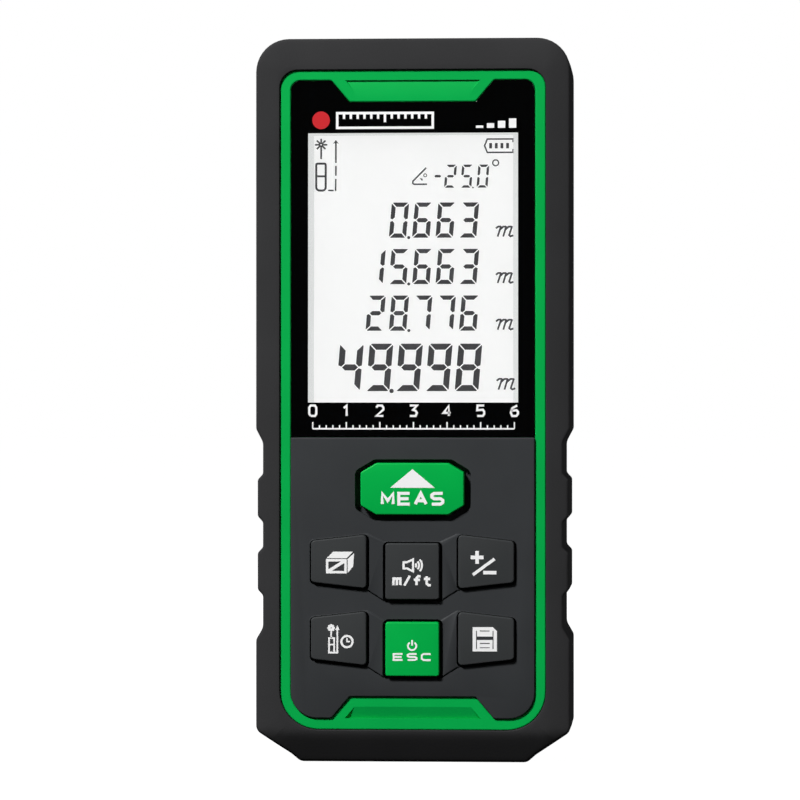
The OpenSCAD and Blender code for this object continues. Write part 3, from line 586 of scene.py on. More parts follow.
def make_front_bumper():
    shell = Shell(outline(BODY), outline(FRAME))
    shell.add(outline(BODY, SEAM), PARTING_Z)
    shell.add(outline(BODY), PARTING_Z + SEAM)
    for inset, drop in rounding(FRONT_EDGE, 7):
        shell.add(outline(BODY, inset), face_level(drop))
    edge = cast(shell.rays, outline(BODY, FRONT_EDGE))
    mouth = cast(shell.rays, outline(FRAME, -LIP_EDGE))
    for share in (0.12, 0.26, 0.4, 0.54, 0.68, 0.84):
        between = [a.lerp(b, share) for a, b in zip(edge, mouth)]
        shell.rings.append(ring(between, face_level(0)))
    for inset, drop in reversed(rounding(LIP_EDGE, 4)):
        shell.add(outline(FRAME, -inset), face_level(drop))
    shell.add(outline(FRAME), lip_level)
    shell.add(outline(PLAIN_BODY, BUMPER_T), lip_level, PARTING_Z)
    piece = build("front_bumper_skin", skin(shell.rings, closed=True))
    combine(piece, "DIFFERENCE", end_opening_tool())
    place(piece, "housing", "bumper_rubber", replaced=["front_bumper"])


def make_rear_bumper():
    shell = Shell(outline(BODY), outline(REAR_OPENING))
    shell.add(outline(BODY, SEAM), PARTING_Z)
    shell.add(outline(BODY), PARTING_Z - SEAM)
    for inset, drop in rounding(REAR_EDGE, 7):
        shell.add(outline(BODY, REAR_DRAFT + inset), BACK_Z + drop)
    for inset, drop in reversed(rounding(0.2, 3)):
        shell.add(outline(REAR_OPENING, -inset), BACK_Z + drop)
    shell.add(outline(REAR_OPENING), REAR_PANEL_Z)
    shell.add(outline(PLAIN_BODY, BUMPER_T), REAR_PANEL_Z, PARTING_Z)
    piece = build("rear_bumper_skin", skin(shell.rings, closed=True))
    combine(piece, "DIFFERENCE", end_opening_tool(), strap_slot_tool())
    place(piece, "housing", "bumper_rubber", replaced=["rear_bumper"])


def tab_recess_tool(root_y, direction, half_w, depth):
    """Wedge cut into one of the green tabs: deepest at the strip and level near the tab's tip."""
    run, clear_of, lean = 1.9, 1.0, 0.7
    tip = half_w - run * (TAB_BASE - TAB_TIP) / TAB_H
    rings = []
    for y, half, drop in ((root_y, half_w, depth), (root_y + direction * run, tip, 0.0)):
        low, high = half - lean * drop, half + lean * clear_of
        floor, top = RING_Z - drop, RING_Z + clear_of
        rings.append([at(-low, y, floor), at(low, y, floor), at(high, y, top), at(-high, y, top)])
    return skin(rings)


def make_front_case():
    fit, edge, around = 0.05, 0.22, 0.5
    shell = Shell(outline(FRAME), outline(INSIDE))
    shell.add(outline(PLAIN_BODY, BUMPER_T + CASE_T), PLATE_Z, PARTING_Z)
    shell.add(outline(PLAIN_BODY, BUMPER_T + 0.02), PARTING_Z, shoulder_level)
    shell.add(outline(FRAME, fit), shoulder_level)
    for inset, drop in rounding(edge, 3):
        shell.add(outline(FRAME, fit + inset), RING_Z - drop)
    for inset, drop in reversed(rounding(edge, 3)):
        shell.add(outline(INSIDE, -inset), RING_Z - drop)
    shell.add(outline(INSIDE), POCKET_Z)
    piece = build("front_case_skin", skin(shell.rings))
    low, high = PLATE_Z - 1, POCKET_Z + 1
    display = rectangle(DISPLAY_HALF + around, DISPLAY_LOW - around, DISPLAY_HIGH + around, 0.3)
    tools = [block(display, [(low, 0), (high, 0)]), end_opening_tool()]
    tools += [block(corners, [(low, -KEY_GAP), (high, -KEY_GAP)]) for corners in KEYS.values()]
    tools += [tab_recess_tool(INNER_HIGH, -1, 11.1, 0.32), tab_recess_tool(INNER_LOW, 1, 11.15, 0.52)]
    combine(piece, "DIFFERENCE", *tools)
    place(piece, "housing", "green_case", replaced=["front_case"], angle=12)


# ---- Keys and their panel ----
def side_key(side, y):
    corners = [(SIDE_IN, y - SIDE_IN_HALF, 0.7), (SIDE_OUT, y - SIDE_OUT_HALF, 0.7),
               (SIDE_OUT, y + SIDE_OUT_HALF, 0.7), (SIDE_IN, y + SIDE_IN_HALF, 0.7)]
    return corners if side > 0 else [(-x, high, r) for x, high, r in reversed(corners)]


def read_outline():
    half_w, half_h, cut_w, cut_h, radius = 8.5, 4.25, 2.6, 1.55, 0.5
    return both([(half_w - cut_w, READ_Y - half_h, radius), (half_w, READ_Y - half_h + cut_h, radius),
                 (half_w, READ_Y + half_h - cut_h, radius), (half_w - cut_w, READ_Y + half_h, radius)])


KEYS = {
    "read_key": read_outline(),
    "unit_key": rectangle(MIDDLE_HALF, UNIT_Y - UNIT_HALF, UNIT_Y + UNIT_HALF, 0.5),
    "clear_key": rectangle(MIDDLE_HALF, CLEAR_Y - CLEAR_HALF, CLEAR_Y + CLEAR_HALF, 0.5),
    "area_volume_key": side_key(-1, UPPER_Y),
    "plus_minus_key": side_key(1, UPPER_Y),
    "timer_key": side_key(-1, LOWER_Y),
    "memory_key": side_key(1, LOWER_Y),
}
GREEN_KEYS = ("read_key", "clear_key")
# The groove round a key: its width, how far it is moved across and along the body, and its extra width
# beside the key
GROOVES = {
    "read_key": (0.75, 0.06, -0.2, 0.2),
    "unit_key": (0.4, 0.04, -0.2, 0.0),
    "clear_key": (0.48, 0.06, -0.06, 0.0),
}
SIDE_GROOVE = (0.28, 0.08, -0.12, 0.0)
# The two rows that stand on plateaus: height of the side keys and of the middle key, its half height
ROWS = ((UPPER_Y, UNIT_Y, UNIT_HALF), (LOWER_Y, CLEAR_Y, CLEAR_HALF))


def plateau_outline(side_y, middle_y, middle_half_h):
    """Wing-shaped plateau that a row of three keys stands on."""
    ends = ((MIDDLE_HALF, middle_y, middle_half_h), (SIDE_IN, side_y, SIDE_IN_HALF),
            (SIDE_OUT, side_y, SIDE_OUT_HALF))
    margins = (PLATEAU_MARGIN, -PLATEAU_MARGIN, PLATEAU_MARGIN)
    low = [(x + m, y - half - PLATEAU_MARGIN, 0.7) for (x, y, half), m in zip(ends, margins)]
    high = [(x + m, y + half + PLATEAU_MARGIN, 0.7) for (x, y, half), m in zip(ends, margins)]
    return both(low + high[::-1])


def plateau_slits():
    """Thin cuts along the plateaus' lower edges, between the side keys and the middle ones."""
    width, levels = 0.2, (FACE_Z - 0.3, FACE_Z + 1)
    slits = []
    for side_y, middle_y, half in ROWS:
        inner = Vector((MIDDLE_HALF + PLATEAU_MARGIN, middle_y - half - PLATEAU_MARGIN))
        outer = Vector((SIDE_IN - PLATEAU_MARGIN, side_y - SIDE_IN_HALF - PLATEAU_MARGIN))
        aside = left_of((outer - inner).normalized()) * width
        line = [inner - aside, outer - aside, outer, inner]
        other = [Vector((-p.x, p.y)) for p in reversed(line)]
        slits += [skin([ring(one, z) for z in levels]) for one in (line, other)]
    return slits


def make_keypad_panel():
    fit, edge = 0.03, 0.2
    levels = [(POCKET_Z, fit), (FACE_Z - edge, fit)]
    levels += [(FACE_Z - drop, fit + inset) for inset, drop in rounding(edge, 3)[1:]]
    piece = build("keypad_panel_skin", block(PANEL, levels))
    rise = [(FACE_Z - 0.6, -0.12), (FACE_Z + 0.01, -0.12), (FACE_Z + RISE * 0.25, -0.06),
            (FACE_Z + RISE * 0.8, 0.0), (FACE_Z + RISE, 0.08)]
    combine(piece, "UNION", *[block(plateau_outline(*row), rise) for row in ROWS])
    holes = [(POCKET_Z - 1, -KEY_GAP), (PLATEAU_Z + 1, -KEY_GAP)]
    combine(piece, "DIFFERENCE", *[block(corners, holes) for corners in KEYS.values()])
    grooves = []
    for name, corners in KEYS.items():
        width, across, along, extra = GROOVES.get(name, SIDE_GROOVE)
        top = FACE_Z if name == "read_key" else FACE_Z + RISE
        moved = [(x + across + math.copysign(extra, x), y + along, radius) for x, y, radius in corners]
        grooves.append(block(moved, [(top - GROOVE_DEPTH, -width), (top - 0.1, -width),
                                     (top, -width - 0.05), (top + 1, -width - 0.05)]))
    combine(piece, "DIFFERENCE", *grooves)
    combine(piece, "DIFFERENCE", *plateau_slits())
    place(piece, "housing", "panel_plastic", replaced=["keypad_panel"])


def make_key(name, corners):
    low, high = span(name)
    if name not in GROOVES:
        middle = (low.y + high.y) / 2
        corners = [(x, y + TOP_REACH if y > middle else y, radius) for x, y, radius in corners]
    foot_z, flange_z, draft, pin_r = 8.5, 9.4, 0.06, 1.3
    top_z = high.z - KEY_SINK
    edge = GREEN_EDGE if name in GREEN_KEYS else KEY_EDGE
    levels = [(foot_z, -KEY_FLANGE), (flange_z, -KEY_FLANGE), (flange_z, 0.0), (FACE_Z - 0.2, 0.0)]
    levels += [(top_z - drop, draft + inset) for inset, drop in rounding(edge, 5)]
    piece = build(name + "_cap", block(corners, levels))
    centre = ((low.x + high.x) / 2, (low.y + high.y) / 2)
    pin = turned(centre, [(low.z, pin_r - 0.2), (low.z + 0.2, pin_r), (foot_z + 0.3, pin_r)])
    combine(piece, "UNION", pin)
    place(piece, name, "key_green" if name in GREEN_KEYS else "key_charcoal", replaced=[name])


# ---- Window and display ----
def make_window():
    fit, edge = 0.04, 0.25
    levels = [(WINDOW_Z, fit), (WINDOW_TOP - edge, fit)]
    levels += [(WINDOW_TOP - drop, fit + inset) for inset, drop in rounding(edge, 4)[1:]]
    piece = build("display_window_sheet", block(WINDOW, levels))
    place(piece, "housing", "window_clear", replaced=["display_window"])


def wall_piece(name, slot_name, corners, insets, low, high):
    """Thin wall round an outline, between two insets and two depths."""
    outer, inner = [outline(corners, inset) for inset in insets]
    rings = [ring(outer, low), ring(outer, high), ring(inner, high), ring(inner, low)]
    place(build(name, skin(rings, closed=True)), "housing", slot_name)


def make_window_edge_ink():
    """Black ink round the window's edge, which stops the lit display from shining out through it."""
    wall_piece("window_edge_ink", "mask_ink", WINDOW, (0.07, 0.17), WINDOW_Z + 0.03, WINDOW_TOP - 0.32)


# ---- Prints: thin raised shapes ----
PRINT_T = 0.03  # their thickness
LIFT = 0.002  # a step of their lifts


def offset_line(points, distance, closed):
    """A line's points moved to its left by a distance, with mitred corners."""
    moved = []
    count = len(points)
    for i, point in enumerate(points):
        point = Vector(point)
        before = (point - Vector(points[i - 1])) if closed or i else None
        after = (Vector(points[(i + 1) % count]) - point) if closed or i < count - 1 else None
        sides = [left_of(way.normalized()) for way in (before, after) if way is not None]
        if len(sides) == 2:
            moved.append(point + (sides[0] + sides[1]) * distance / max(1 + sides[0].dot(sides[1]), 0.4))
        else:
            moved.append(point + sides[0] * distance)
    return moved


def arc(centre, radius, start, end, steps):
    """Points of an arc, its ends in degrees."""
    angles = [math.radians(start + (end - start) * k / steps) for k in range(steps + 1)]
    return [(centre[0] + radius * math.cos(a), centre[1] + radius * math.sin(a)) for a in angles]


def circle(x, y, radius):
    return arc((x, y), radius, 0, 345, 23)


def box(left, right, low, high):
    return [(left, low), (right, low), (right, high), (left, high)]


# Plain letters and figures as strokes in a box 1 wide and 1 high
GLYPHS = {
    "A": [[(0, 0), (0.5, 1), (1, 0)], [(0.22, 0.32), (0.78, 0.32)]],
    "C": [[(1, 1), (0.2, 1), (0, 0.8), (0, 0.2), (0.2, 0), (1, 0)]],
    "E": [[(1, 1), (0, 1), (0, 0), (1, 0)], [(0, 0.5), (0.9, 0.5)]],
    "M": [[(0, 0), (0, 1), (0.5, 0.3), (1, 1), (1, 0)]],
    "S": [[(1, 1), (0.2, 1), (0, 0.85), (0, 0.65), (0.2, 0.5), (0.8, 0.5), (1, 0.35), (1, 0.15), (0.8, 0),
           (0, 0)]],
    "m": [[(0, 0), (0, 0.72), (0.5, 0.72), (0.5, 0)], [(0.5, 0.72), (1, 0.72), (1, 0)]],
    "f": [[(1, 1), (0.65, 1), (0.4, 0.8), (0.4, 0)], [(0, 0.6), (0.9, 0.6)]],
    "t": [[(0.4, 1), (0.4, 0.2), (0.65, 0), (1, 0)], [(0, 0.7), (0.9, 0.7)]],
    "/": [[(0.1, -0.05), (0.9, 1.05)]],
    "0": [[(0.2, 0), (0.8, 0), (1, 0.2), (1, 0.8), (0.8, 1), (0.2, 1), (0, 0.8), (0, 0.2), (0.2, 0)]],
    "1": [[(0.15, 0.75), (0.55, 1), (0.55, 0)]],
    "2": [[(0, 0.8), (0.2, 1), (0.8, 1), (1, 0.8), (1, 0.6), (0, 0), (1, 0)]],
    "3": [[(0, 1), (1, 1), (0.45, 0.58), (0.8, 0.5), (1, 0.3), (0.8, 0), (0, 0)]],
    "4": [[(0.75, 0), (0.75, 1), (0, 0.3), (1, 0.3)]],
    "5": [[(1, 1), (0.05, 1), (0, 0.55), (0.8, 0.6), (1, 0.4), (1, 0.2), (0.8, 0), (0, 0)]],
    "6": [[(0.9, 1), (0.2, 0.75), (0, 0.3), (0.2, 0), (0.8, 0), (1, 0.2), (1, 0.4), (0.8, 0.55),
           (0.05, 0.5)]],
}


class Drawing:
    """Shapes printed at one depth. Where shapes cross, their lifts keep them from lying in one plane."""

    def __init__(self, z):
        self.z = z
        self.parts = []

    def fill(self, points, lift=0):
        low = self.z + LIFT * lift
        self.parts.append(skin([ring(points, low), ring(points, low + PRINT_T)]))

    def line(self, points, width, lift=0):
        left, right = [offset_line(points, side, False) for side in (width / 2, -width / 2)]
        self.fill(right + left[::-1], lift)

    def across(self, start, end, y, width, lift=0):
        self.line([(start, y), (end, y)], width, lift)

    def along(self, x, start, end, width, lift=0):
        self.line([(x, start), (x, end)], width, lift)

    def loop(self, points, width):
        """A closed line."""
        left, right = [offset_line(points, side, True) for side in (width / 2, -width / 2)]
        low, top = self.z, self.z + PRINT_T
        rings = [ring(right, low), ring(right, top), ring(left, top), ring(left, low)]
        self.parts.append(skin(rings, closed=True))

    def spokes(self, x, y, inner, outer, width, directions=range(8)):
        """Lines out from a centre, in some of the eight directions."""
        for lift, k in enumerate(directions):
            a = math.pi / 4 * k
            self.line([(x + r * math.cos(a), y + r * math.sin(a)) for r in (inner, outer)], width, lift)

    def word(self, text, x, y, width, height, weight, gap):
        """A centred word. width is a letter's, between the middles of its lines."""
        x -= (len(text) * width + (len(text) - 1) * gap) / 2
        lift = 0
        for letter in text:
            for line in GLYPHS[letter]:
                self.line([(x + u * width, y + (v - 0.5) * height) for u, v in line], weight, lift)
                lift += 1
            x += width + gap


def print_piece(name, body, art, finish="print_white", slot_name="mask_ink"):
    place(build(name, *art.parts), body, slot_name, finish)


def print_key(key, draw, name, finish="print_white"):
    """Prints a drawing on the middle of a key's top."""
    low, high = span(key)
    art = Drawing(high.z - KEY_SINK)
    draw(art, (low.x + high.x) / 2, (low.y + high.y) / 2)
    print_piece(name, key, art, finish)


def draw_read(art, x, y):
    x, y = x + 0.07, y + 0.12
    art.fill([(x - 3.65, y + 0.08), (x + 3.65, y + 0.08), (x, y + 3.12)])
    art.word("MEAS", x, y - 1.7, 1.78, 1.75, 0.5, 0.92)


def draw_unit(art, x, y):
    sx, sy = x + 0.1, y + 1.0
    art.loop([(sx - 1.5, sy - 0.5), (sx - 0.95, sy - 0.5), (sx + 0.05, sy - 0.98), (sx + 0.05, sy + 0.98),
              (sx - 0.95, sy + 0.5), (sx - 1.5, sy + 0.5)], 0.34)
    for k, radius in enumerate((0.45, 0.93, 1.41)):
        art.line(arc((sx + 0.1, sy), radius, -42, 42, 8), 0.32, k + 1)
    art.word("m/ft", x, y - 1.5, 1.12, 1.45, 0.41, 0.54)


def draw_clear(art, x, y):
    art.line(arc((x, y + 0.55), 0.68, 125, 415, 20), 0.28)
    art.along(x, y + 0.6, y + 1.5, 0.28, 1)
    art.word("ESC", x, y - 1.25, 1.45, 0.98, 0.3, 0.85)


def draw_area_volume(art, x, y):
    left, right, low, high = x - 2.07, x + 1.33, y - 1.87, y + 0.48
    slant, rise, gap = 1.05, 1.2, 0.14
    back, top = right + slant, high + rise
    art.loop(box(left + 0.2, right - 0.2, low + 0.2, high - 0.2), 0.4)
    art.line([(left + 0.3, low + 0.3), (right - 0.3, high - 0.3)], 0.5, 1)
    art.fill([(left + gap, high + gap), (right, high + gap), (back, top), (left + slant + gap, top)])
    art.fill([(right + gap, low + 0.05), (back, low + 1.1), (back + 0.15, top - 0.25), (right + gap, high)])


def draw_plus_minus(art, x, y):
    px, py, arm, weight = x - 1.45, y + 0.8, 1.05, 0.58
    art.across(px - arm, px + arm, py, weight)
    art.along(px, py - arm, py + arm, weight, 1)
    art.line([(x - 2.15, y - 2.05), (x + 1.4, y + 0.55)], 0.5, 2)
    art.across(x - 0.45, x + 1.7, y - 1.68, weight, 3)


def draw_timer(art, x, y):
    star_x, star_y = x - 1.2, y + 1.78
    art.spokes(star_x, star_y, 0.1, 0.6, 0.34)
    art.along(star_x, star_y - 0.5, y + 0.1, 0.26)
    left, right, low, high = star_x - 0.36, star_x + 0.48, y - 2.26, y + 0.1
    art.loop(box(left, right, low, high), 0.28)
    art.across(left, right, y - 0.95, 0.28, 1)
    arrow_x = star_x + 1.0
    art.line([(right, low), (arrow_x, low), (arrow_x, y + 1.5)], 0.28, 2)
    art.fill([(arrow_x - 0.38, y + 1.45), (arrow_x + 0.38, y + 1.45), (arrow_x, y + 2.2)])
    clock_x, clock_y = x + 1.38, y - 0.45
    art.loop(circle(clock_x, clock_y, 0.92), 0.34)
    art.line([(clock_x, clock_y + 0.6), (clock_x, clock_y), (clock_x + 0.5, clock_y)], 0.24)


CARD_HALF, CARD_SHIFT = 1.98, -0.2


def draw_card(art, x, y):
    """The plate of a memory card, with one corner cut."""
    x, cut = x + CARD_SHIFT, 0.65
    left, right, low, high = x - CARD_HALF, x + CARD_HALF, y - CARD_HALF, y + CARD_HALF
    art.fill([(left, low), (right, low), (right, high - cut), (right - cut, high), (left, high)])


def draw_card_lines(art, x, y):
    """Dark lines on the memory card."""
    art.z += PRINT_T / 2
    x, low, high = x + CARD_SHIFT, y - CARD_HALF, y + CARD_HALF
    for drop, half, weight in ((1.8, 1.35, 0.55), (0.62, 0.8, 0.14), (2.65, 0.8, 0.16), (3.35, 0.8, 0.12)):
        art.across(x - half, x + half, high - drop, weight)
    for side in (-1.35, 1.35):
        art.along(x + side, low + 0.4, high - 0.6, 0.14, 1)


KEY_PRINTS = {
    "read_key": draw_read, "unit_key": draw_unit, "clear_key": draw_clear,
    "area_volume_key": draw_area_volume, "plus_minus_key": draw_plus_minus, "timer_key": draw_timer,
    "memory_key": draw_card,
}


# ---- Display content ----
SEGMENTS = {
    "0": "abcdef", "1": "bc", "2": "abged", "3": "abgcd", "4": "fgbc", "5": "afgcd", "6": "afgedc",
    "7": "abc", "8": "abcdefg", "9": "abcdfg",
}
SLANT = math.tan(math.radians(4.85))
SEGMENT_Z = LCD_Z + 0.01
SEGMENT_GAP = 0.13  # from a figure's corners to its segments' ends


def draw_figure(art, digit, x, y, width, height, weight):
    """Seven-segment figure in a slanted box whose lower left corner is at x, y."""
    w, half, gap, cut = weight, height / 2, SEGMENT_GAP, weight * 0.2
    bar = [(gap + cut, height), (gap + cut / 2, height - cut / 2), (w + gap, height - w),
           (width - w - gap, height - w), (width - gap - cut / 2, height - cut / 2),
           (width - gap - cut, height)]
    post = [(0, half + gap + cut), (0, height - gap - cut), (cut / 2, height - gap - cut / 2),
            (w, height - w - gap), (w, half + w / 2 + gap), (w / 2, half + gap)]
    middle = [(w / 2 + gap, half), (w + gap, half + w / 2), (width - w - gap, half + w / 2),
              (width - w / 2 - gap, half), (width - w - gap, half - w / 2), (w + gap, half - w / 2)]
    shapes = {
        "a": bar, "d": [(px, height - py) for px, py in bar], "g": middle, "f": post,
        "b": [(width - px, py) for px, py in post],
        "c": [(width - px, height - py) for px, py in post],
        "e": [(px, height - py) for px, py in post],
    }
    for name in SEGMENTS[digit]:
        art.fill([(x + px + py * SLANT, y + py) for px, py in shapes[name]])


def draw_reading(art, text, left, low, width, height, weight, pitch, point_gap):
    """A number whose last figure's lower left corner is at left, low. A point takes no room of its own."""
    for letter in reversed(text):
        if letter == ".":
            art.fill(circle(left + width + point_gap, low + 0.03, weight * 0.36))
        else:
            draw_figure(art, letter, left, low, width, height, weight)
            left -= pitch


def draw_metre_sign(art, left, low, width, height):
    """Sloping m with short serifs, beside a reading."""
    lines = [
        [(0.0, 0.8), (0.14, 0.97), (0.3, 0.97)], [(0.3, 1.0), (0.1, 0.0)],
        [(0.24, 0.68), (0.42, 0.96), (0.6, 0.96)], [(0.6, 1.0), (0.42, 0.0)],
        [(0.55, 0.68), (0.74, 0.96), (0.92, 0.96)], [(0.93, 1.0), (0.76, 0.14), (0.84, 0.02), (1.0, 0.12)],
    ]
    for i, line in enumerate(lines):
        art.line([(left + u * width, low + v * height) for u, v in line], 0.3, i)


def draw_symbols(art):
    """The laser symbol, the meter's outline, the measuring arrow and the battery."""
    star_x, star_y = -15.2, DISPLAY_LOW + 42.2
    art.spokes(star_x, star_y, 0.12, 1.0, 0.27, (0, 1, 2, 3, 4, 5, 7))
    art.along(star_x, star_y - 0.1, star_y - 2.35, 0.28)
    left, right, low, high = -16.0, -14.46, DISPLAY_LOW + 34.72, DISPLAY_LOW + 39.12
    meter = [(left, low, 0.55), (right, low, 0.55), (right, high, 0.22), (left, high, 0.22)]
    art.loop(outline(meter), 0.34)
    art.across(left, right, high - 2.07, 0.32, 1)
    arrow_x, top = -12.8, DISPLAY_LOW + 42.88
    art.along(arrow_x, top - 0.1, top - 3.65, 0.27)
    art.fill([(arrow_x - 0.5, top - 0.55), (arrow_x, top - 0.3), (arrow_x + 0.5, top - 0.55),
              (arrow_x, top + 0.12)], 1)
    for start, end in ((4.1, 5.75), (6.25, 8.25)):
        art.along(arrow_x, top - start, top - end, 0.27)
    art.across(arrow_x - 1.25, arrow_x - 0.35, top - 8.15, 0.26)
    left, right, low, high = 11.86, 16.32, DISPLAY_LOW + 40.85, DISPLAY_LOW + 43.03
    middle = (low + high) / 2
    art.line([(right, middle + 0.55), (right, high), (left + 0.25, high), (left, middle + 0.45),
              (left - 0.2, middle), (left, middle - 0.45), (left + 0.25, low), (right, low),
              (right, middle - 0.55)], 0.25)
    for k in range(4):
        art.along(left + 0.8 + k * 0.92, middle - 0.44, middle + 0.44, 0.46)


def draw_angle(art):
    """The angle icon and its reading, with a minus and a degree sign."""
    draw_reading(art, "25.0", 10.34, DISPLAY_LOW + 35.1, 1.8, 3.77, 0.4, 2.65, 0.27)
    minus_y = DISPLAY_LOW + 37.0
    art.fill([(3.45, minus_y), (3.65, minus_y + 0.2), (4.4, minus_y + 0.2), (4.6, minus_y),
              (4.4, minus_y - 0.2), (3.65, minus_y - 0.2)])
    art.loop(circle(13.48, DISPLAY_LOW + 39.15, 0.48), 0.22)
    x, y = -0.1, DISPLAY_LOW + 35.68
    art.line([(x + 2.2, y + 2.7), (x + 0.02, y + 0.5), (x, y + 0.15), (x + 0.25, y), (x + 2.35, y)], 0.26)
    art.loop(arc((x + 2.04, y + 1.46), 0.25, 0, 345, 15), 0.14)
    art.fill([(x + 1.1, y + 1.05), (x + 1.65, y + 0.9), (x + 1.55, y + 0.5)])


def make_display():
    art = Drawing(SEGMENT_Z)
    draw_symbols(art)
    draw_angle(art)
    for text, low in (("0.663", 26.95), ("15.663", 19.37), ("28.776", 11.76)):
        draw_reading(art, text, 7.45, DISPLAY_LOW + low, 2.85, 5.75, 0.7, 3.825, 0.43)
        draw_metre_sign(art, 13.5, DISPLAY_LOW + low + 0.15, 2.85, 1.7)
    draw_reading(art, "49.998", 6.74, DISPLAY_LOW + 1.89, 3.87, 7.76, 1.0, 4.85, 0.36)
    draw_metre_sign(art, 13.6, DISPLAY_LOW + 2.13, 3.05, 1.82)
    print_piece("display_segments", "housing", art, "segment_grey", "lcd_glass")


def make_display_shade():
    """Painted shade: a soft grey, glowing edge of the lit area, on its two sides and its top, that stands in
    for the shadow of the window's mask on the sunken display.
    """
    side, top, fade = 0.9, 0.4, 0.2
    outer, inner = DISPLAY_HALF + fade, DISPLAY_HALF - side
    low, high = DISPLAY_LOW - fade, DISPLAY_HIGH + fade
    art = Drawing(SEGMENT_Z)
    art.fill(box(-outer, -inner, low, high))
    art.fill(box(inner, outer, low, high))
    art.fill(box(-inner - fade, inner + fade, DISPLAY_HIGH - top, high), -1)
    print_piece("display_edge_shade", "housing", art, "display_shade", "lcd_glass")


def make_display_gasket():
    """Black foam between the display and the window, round the opening of the front case."""
    corners = rectangle(DISPLAY_HALF + 0.46, DISPLAY_LOW - 0.46, DISPLAY_HIGH + 0.46, 0.6)
    wall_piece("display_gasket", "gasket_rubber", corners, (0.0, 0.34), LCD_Z + 0.02, POCKET_Z - 0.02)


# ---- Prints on the window ----
def draw_rule(art, left, y, interval):
    """The numbered rule under the display."""
    art.across(left, left + 6 * interval, y, 0.26)
    for k in range(31):
        art.along(left + k * interval / 5, y, y + (1.1 if k % 5 == 0 else 0.58), 0.22, 1)
    for k in range(7):
        art.word(str(k), left + k * interval, y + 2.95, 1.15, 1.7, 0.36, 0.4)


def make_window_prints():
    line_y, foot, top = DISPLAY_HIGH + 2.05, DISPLAY_HIGH + 0.75, WINDOW_TOP - PRINT_T / 2
    dot, art = Drawing(top), Drawing(top)
    dot.fill(circle(-15.0, line_y + 0.05, 1.45))
    print_piece("window_mark_dot", "housing", dot, "print_red")
    left, right, low, high = -12.35, 3.3, line_y - 1.2, line_y + 1.2
    art.loop(box(left, right, low, high), 0.42)
    for k in range(1, 14):
        tick = left + (right - left) * k / 14
        art.along(tick, high, high - (1.5 if k % 7 == 0 else 0.95), 0.4, 1)
    for k in range(4):
        bar_x = 10.35 + k * 1.8
        art.fill(box(bar_x, bar_x + 1.2, foot, foot + 0.4 + 0.38 * k))
    draw_rule(art, -16.36, WINDOW_LOW + 1.35, 5.5)
    print_piece("window_print", "housing", art)


# ---- CAD nodes that keep their shape ----
REBUILT = {"front_bumper", "rear_bumper", "front_case", "keypad_panel", "display_window"} | set(KEYS)
EDGE_WIDTHS = {"rear_case": 0.25, "end_bezel": 0.3, "battery_cover": 0.25, "tripod_bush": 0.3}
SMALL_EDGE = 0.12


def finish_node(name, node):
    """Finish and broken edges for a CAD node that stays as it is."""
    slot_name = node.material_slots[0].material.name
    node.material_slots[0].material = cell_jacket(name) if slot_name == "cell_jacket" else FINISHES[slot_name]
    modify(node, "weld", "WELD", merge_threshold=0.002 * MM)
    if name != "battery_springs":
        width = EDGE_WIDTHS.get(name, SMALL_EDGE) * MM
        modify(node, "flat", "DECIMATE", decimate_type="DISSOLVE", angle_limit=math.radians(0.5))
        modify(node, "edges", "BEVEL", width=width, segments=2, limit_method="ANGLE",
               angle_limit=math.radians(40), use_clamp_overlap=True)


# ---- Studio ----
CAMERA_AZIMUTH = math.radians(3.85)
CAMERA_DISTANCE = 0.726  # from the object's face
VIEW_WIDTH = 130.65 * MM  # width of the view at the object's face
AIM_ACROSS = -2.04 * MM
AIM_HEIGHT = 59.35 * MM


def make_camera():
    camera = link_object("camera", bpy.data.cameras.new("camera"))
    right = Vector((math.cos(CAMERA_AZIMUTH), math.sin(CAMERA_AZIMUTH), 0))
    back = Vector((math.sin(CAMERA_AZIMUTH), -math.cos(CAMERA_AZIMUTH), 0))
    face = Vector((0, -FACE_Z * MM, AIM_HEIGHT))
    camera.location = face + right * AIM_ACROSS + back * CAMERA_DISTANCE
    camera.rotation_mode = "QUATERNION"
    camera.rotation_quaternion = (-back).to_track_quat("-Z", "Y")
    camera.data.lens = camera.data.sensor_width * CAMERA_DISTANCE / VIEW_WIDTH
    camera.data.dof.use_dof = False
    SCENE.camera = camera


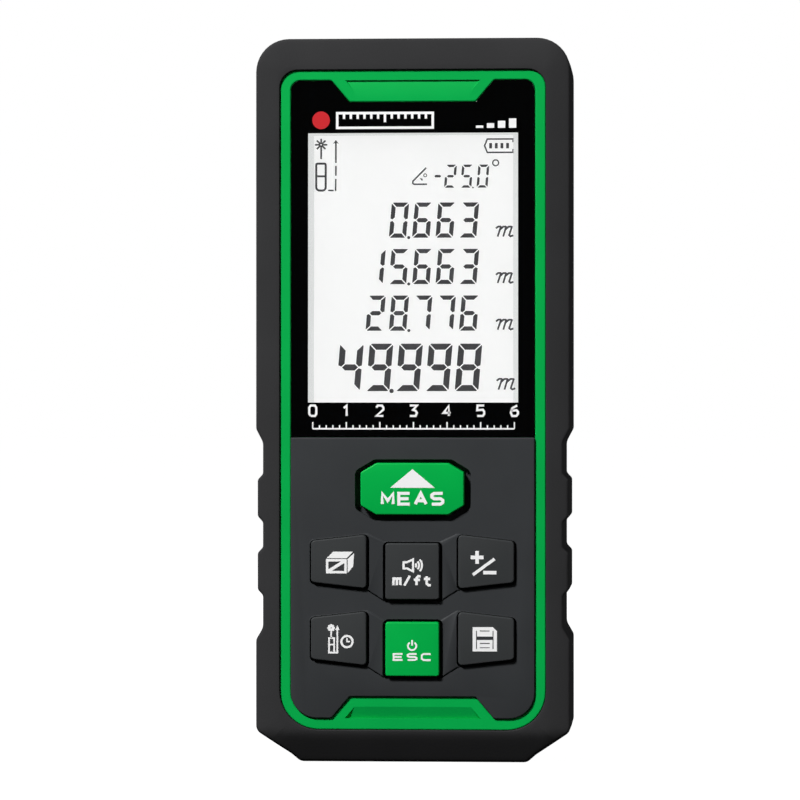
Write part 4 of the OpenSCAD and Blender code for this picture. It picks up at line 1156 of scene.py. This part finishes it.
def area_light(name, azimuth, elevation, distance, size, power, glossy=True):
    data = bpy.data.lights.new(name, "AREA")
    data.shape = "DISK"
    data.size = size
    data.energy = power
    light = link_object(name, data)
    a, e = math.radians(azimuth), math.radians(elevation)
    away = Vector((math.sin(a) * math.cos(e), -math.cos(a) * math.cos(e), math.sin(e)))
    light.location = Vector((0, 0, BODY_L * MM / 2)) + away * distance
    light.rotation_mode = "QUATERNION"
    light.rotation_quaternion = away.to_track_quat("Z", "Y")
    light.visible_glossy = glossy
    light.visible_camera = False


def staged_mesh(name, points, faces, tone):
    """A white surface that only the camera sees."""
    mesh = new_mesh(name, points, faces)
    piece = link_object(name, mesh)
    mesh.materials.append(Finish(name).surface({
        "Base Color": (tone, tone, tone, 1), "Roughness": 1.0, "Specular IOR Level": 0.0,
        "Emission Color": (1, 1, 1, 1), "Emission Strength": 1.0,
    }))
    for rays in ("diffuse", "glossy", "transmission", "shadow"):
        setattr(piece, "visible_" + rays, False)


def make_studio():
    reach, height, steps = 6.0, 6.0, 64
    turns = [2 * math.pi * k / steps for k in range(steps)]
    base, below, high = [
        [(reach * math.cos(a), reach * math.sin(a), z) for a in turns] for z in (0.0, -height, height)
    ]
    staged_mesh("floor", base, [tuple(range(steps))], 0.05)
    walls = [(k, (k + 1) % steps, steps + (k + 1) % steps, steps + k) for k in range(steps)]
    staged_mesh("backdrop", below + high, walls + [tuple(range(steps, 2 * steps))], 0.0)
    area_light("key_light", -36, 41, 1.2, 0.2, 19.8)
    area_light("fill_light", 40, 20, 1.2, 0.4, 0.5)
    area_light("side_light", 96, 0, 0.8, 0.3, 1.2)
    area_light("back_light", 205, 30, 0.9, 0.4, 9.0, glossy=False)
    world = bpy.data.worlds.new("studio")
    world.use_nodes = True
    world.node_tree.nodes["Background"].inputs["Color"].default_value = (1, 1, 1, 1)
    world.node_tree.nodes["Background"].inputs["Strength"].default_value = 0.03
    SCENE.world = world
    SCENE.view_settings.view_transform = "Standard"


make_camera()
make_front_bumper()
make_rear_bumper()
make_front_case()
make_keypad_panel()
for key_name, key_corners in KEYS.items():
    make_key(key_name, key_corners)
make_window()
make_window_edge_ink()
for key_name, draw_key in KEY_PRINTS.items():
    print_key(key_name, draw_key, key_name + "_print")
print_key("memory_key", draw_card_lines, "memory_key_lines", "panel_plastic")
make_display()
make_display_shade()
make_display_gasket()
make_window_prints()
for node_name, cad_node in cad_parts.items():
    if node_name not in REBUILT:
        finish_node(node_name, cad_node)
make_studio()
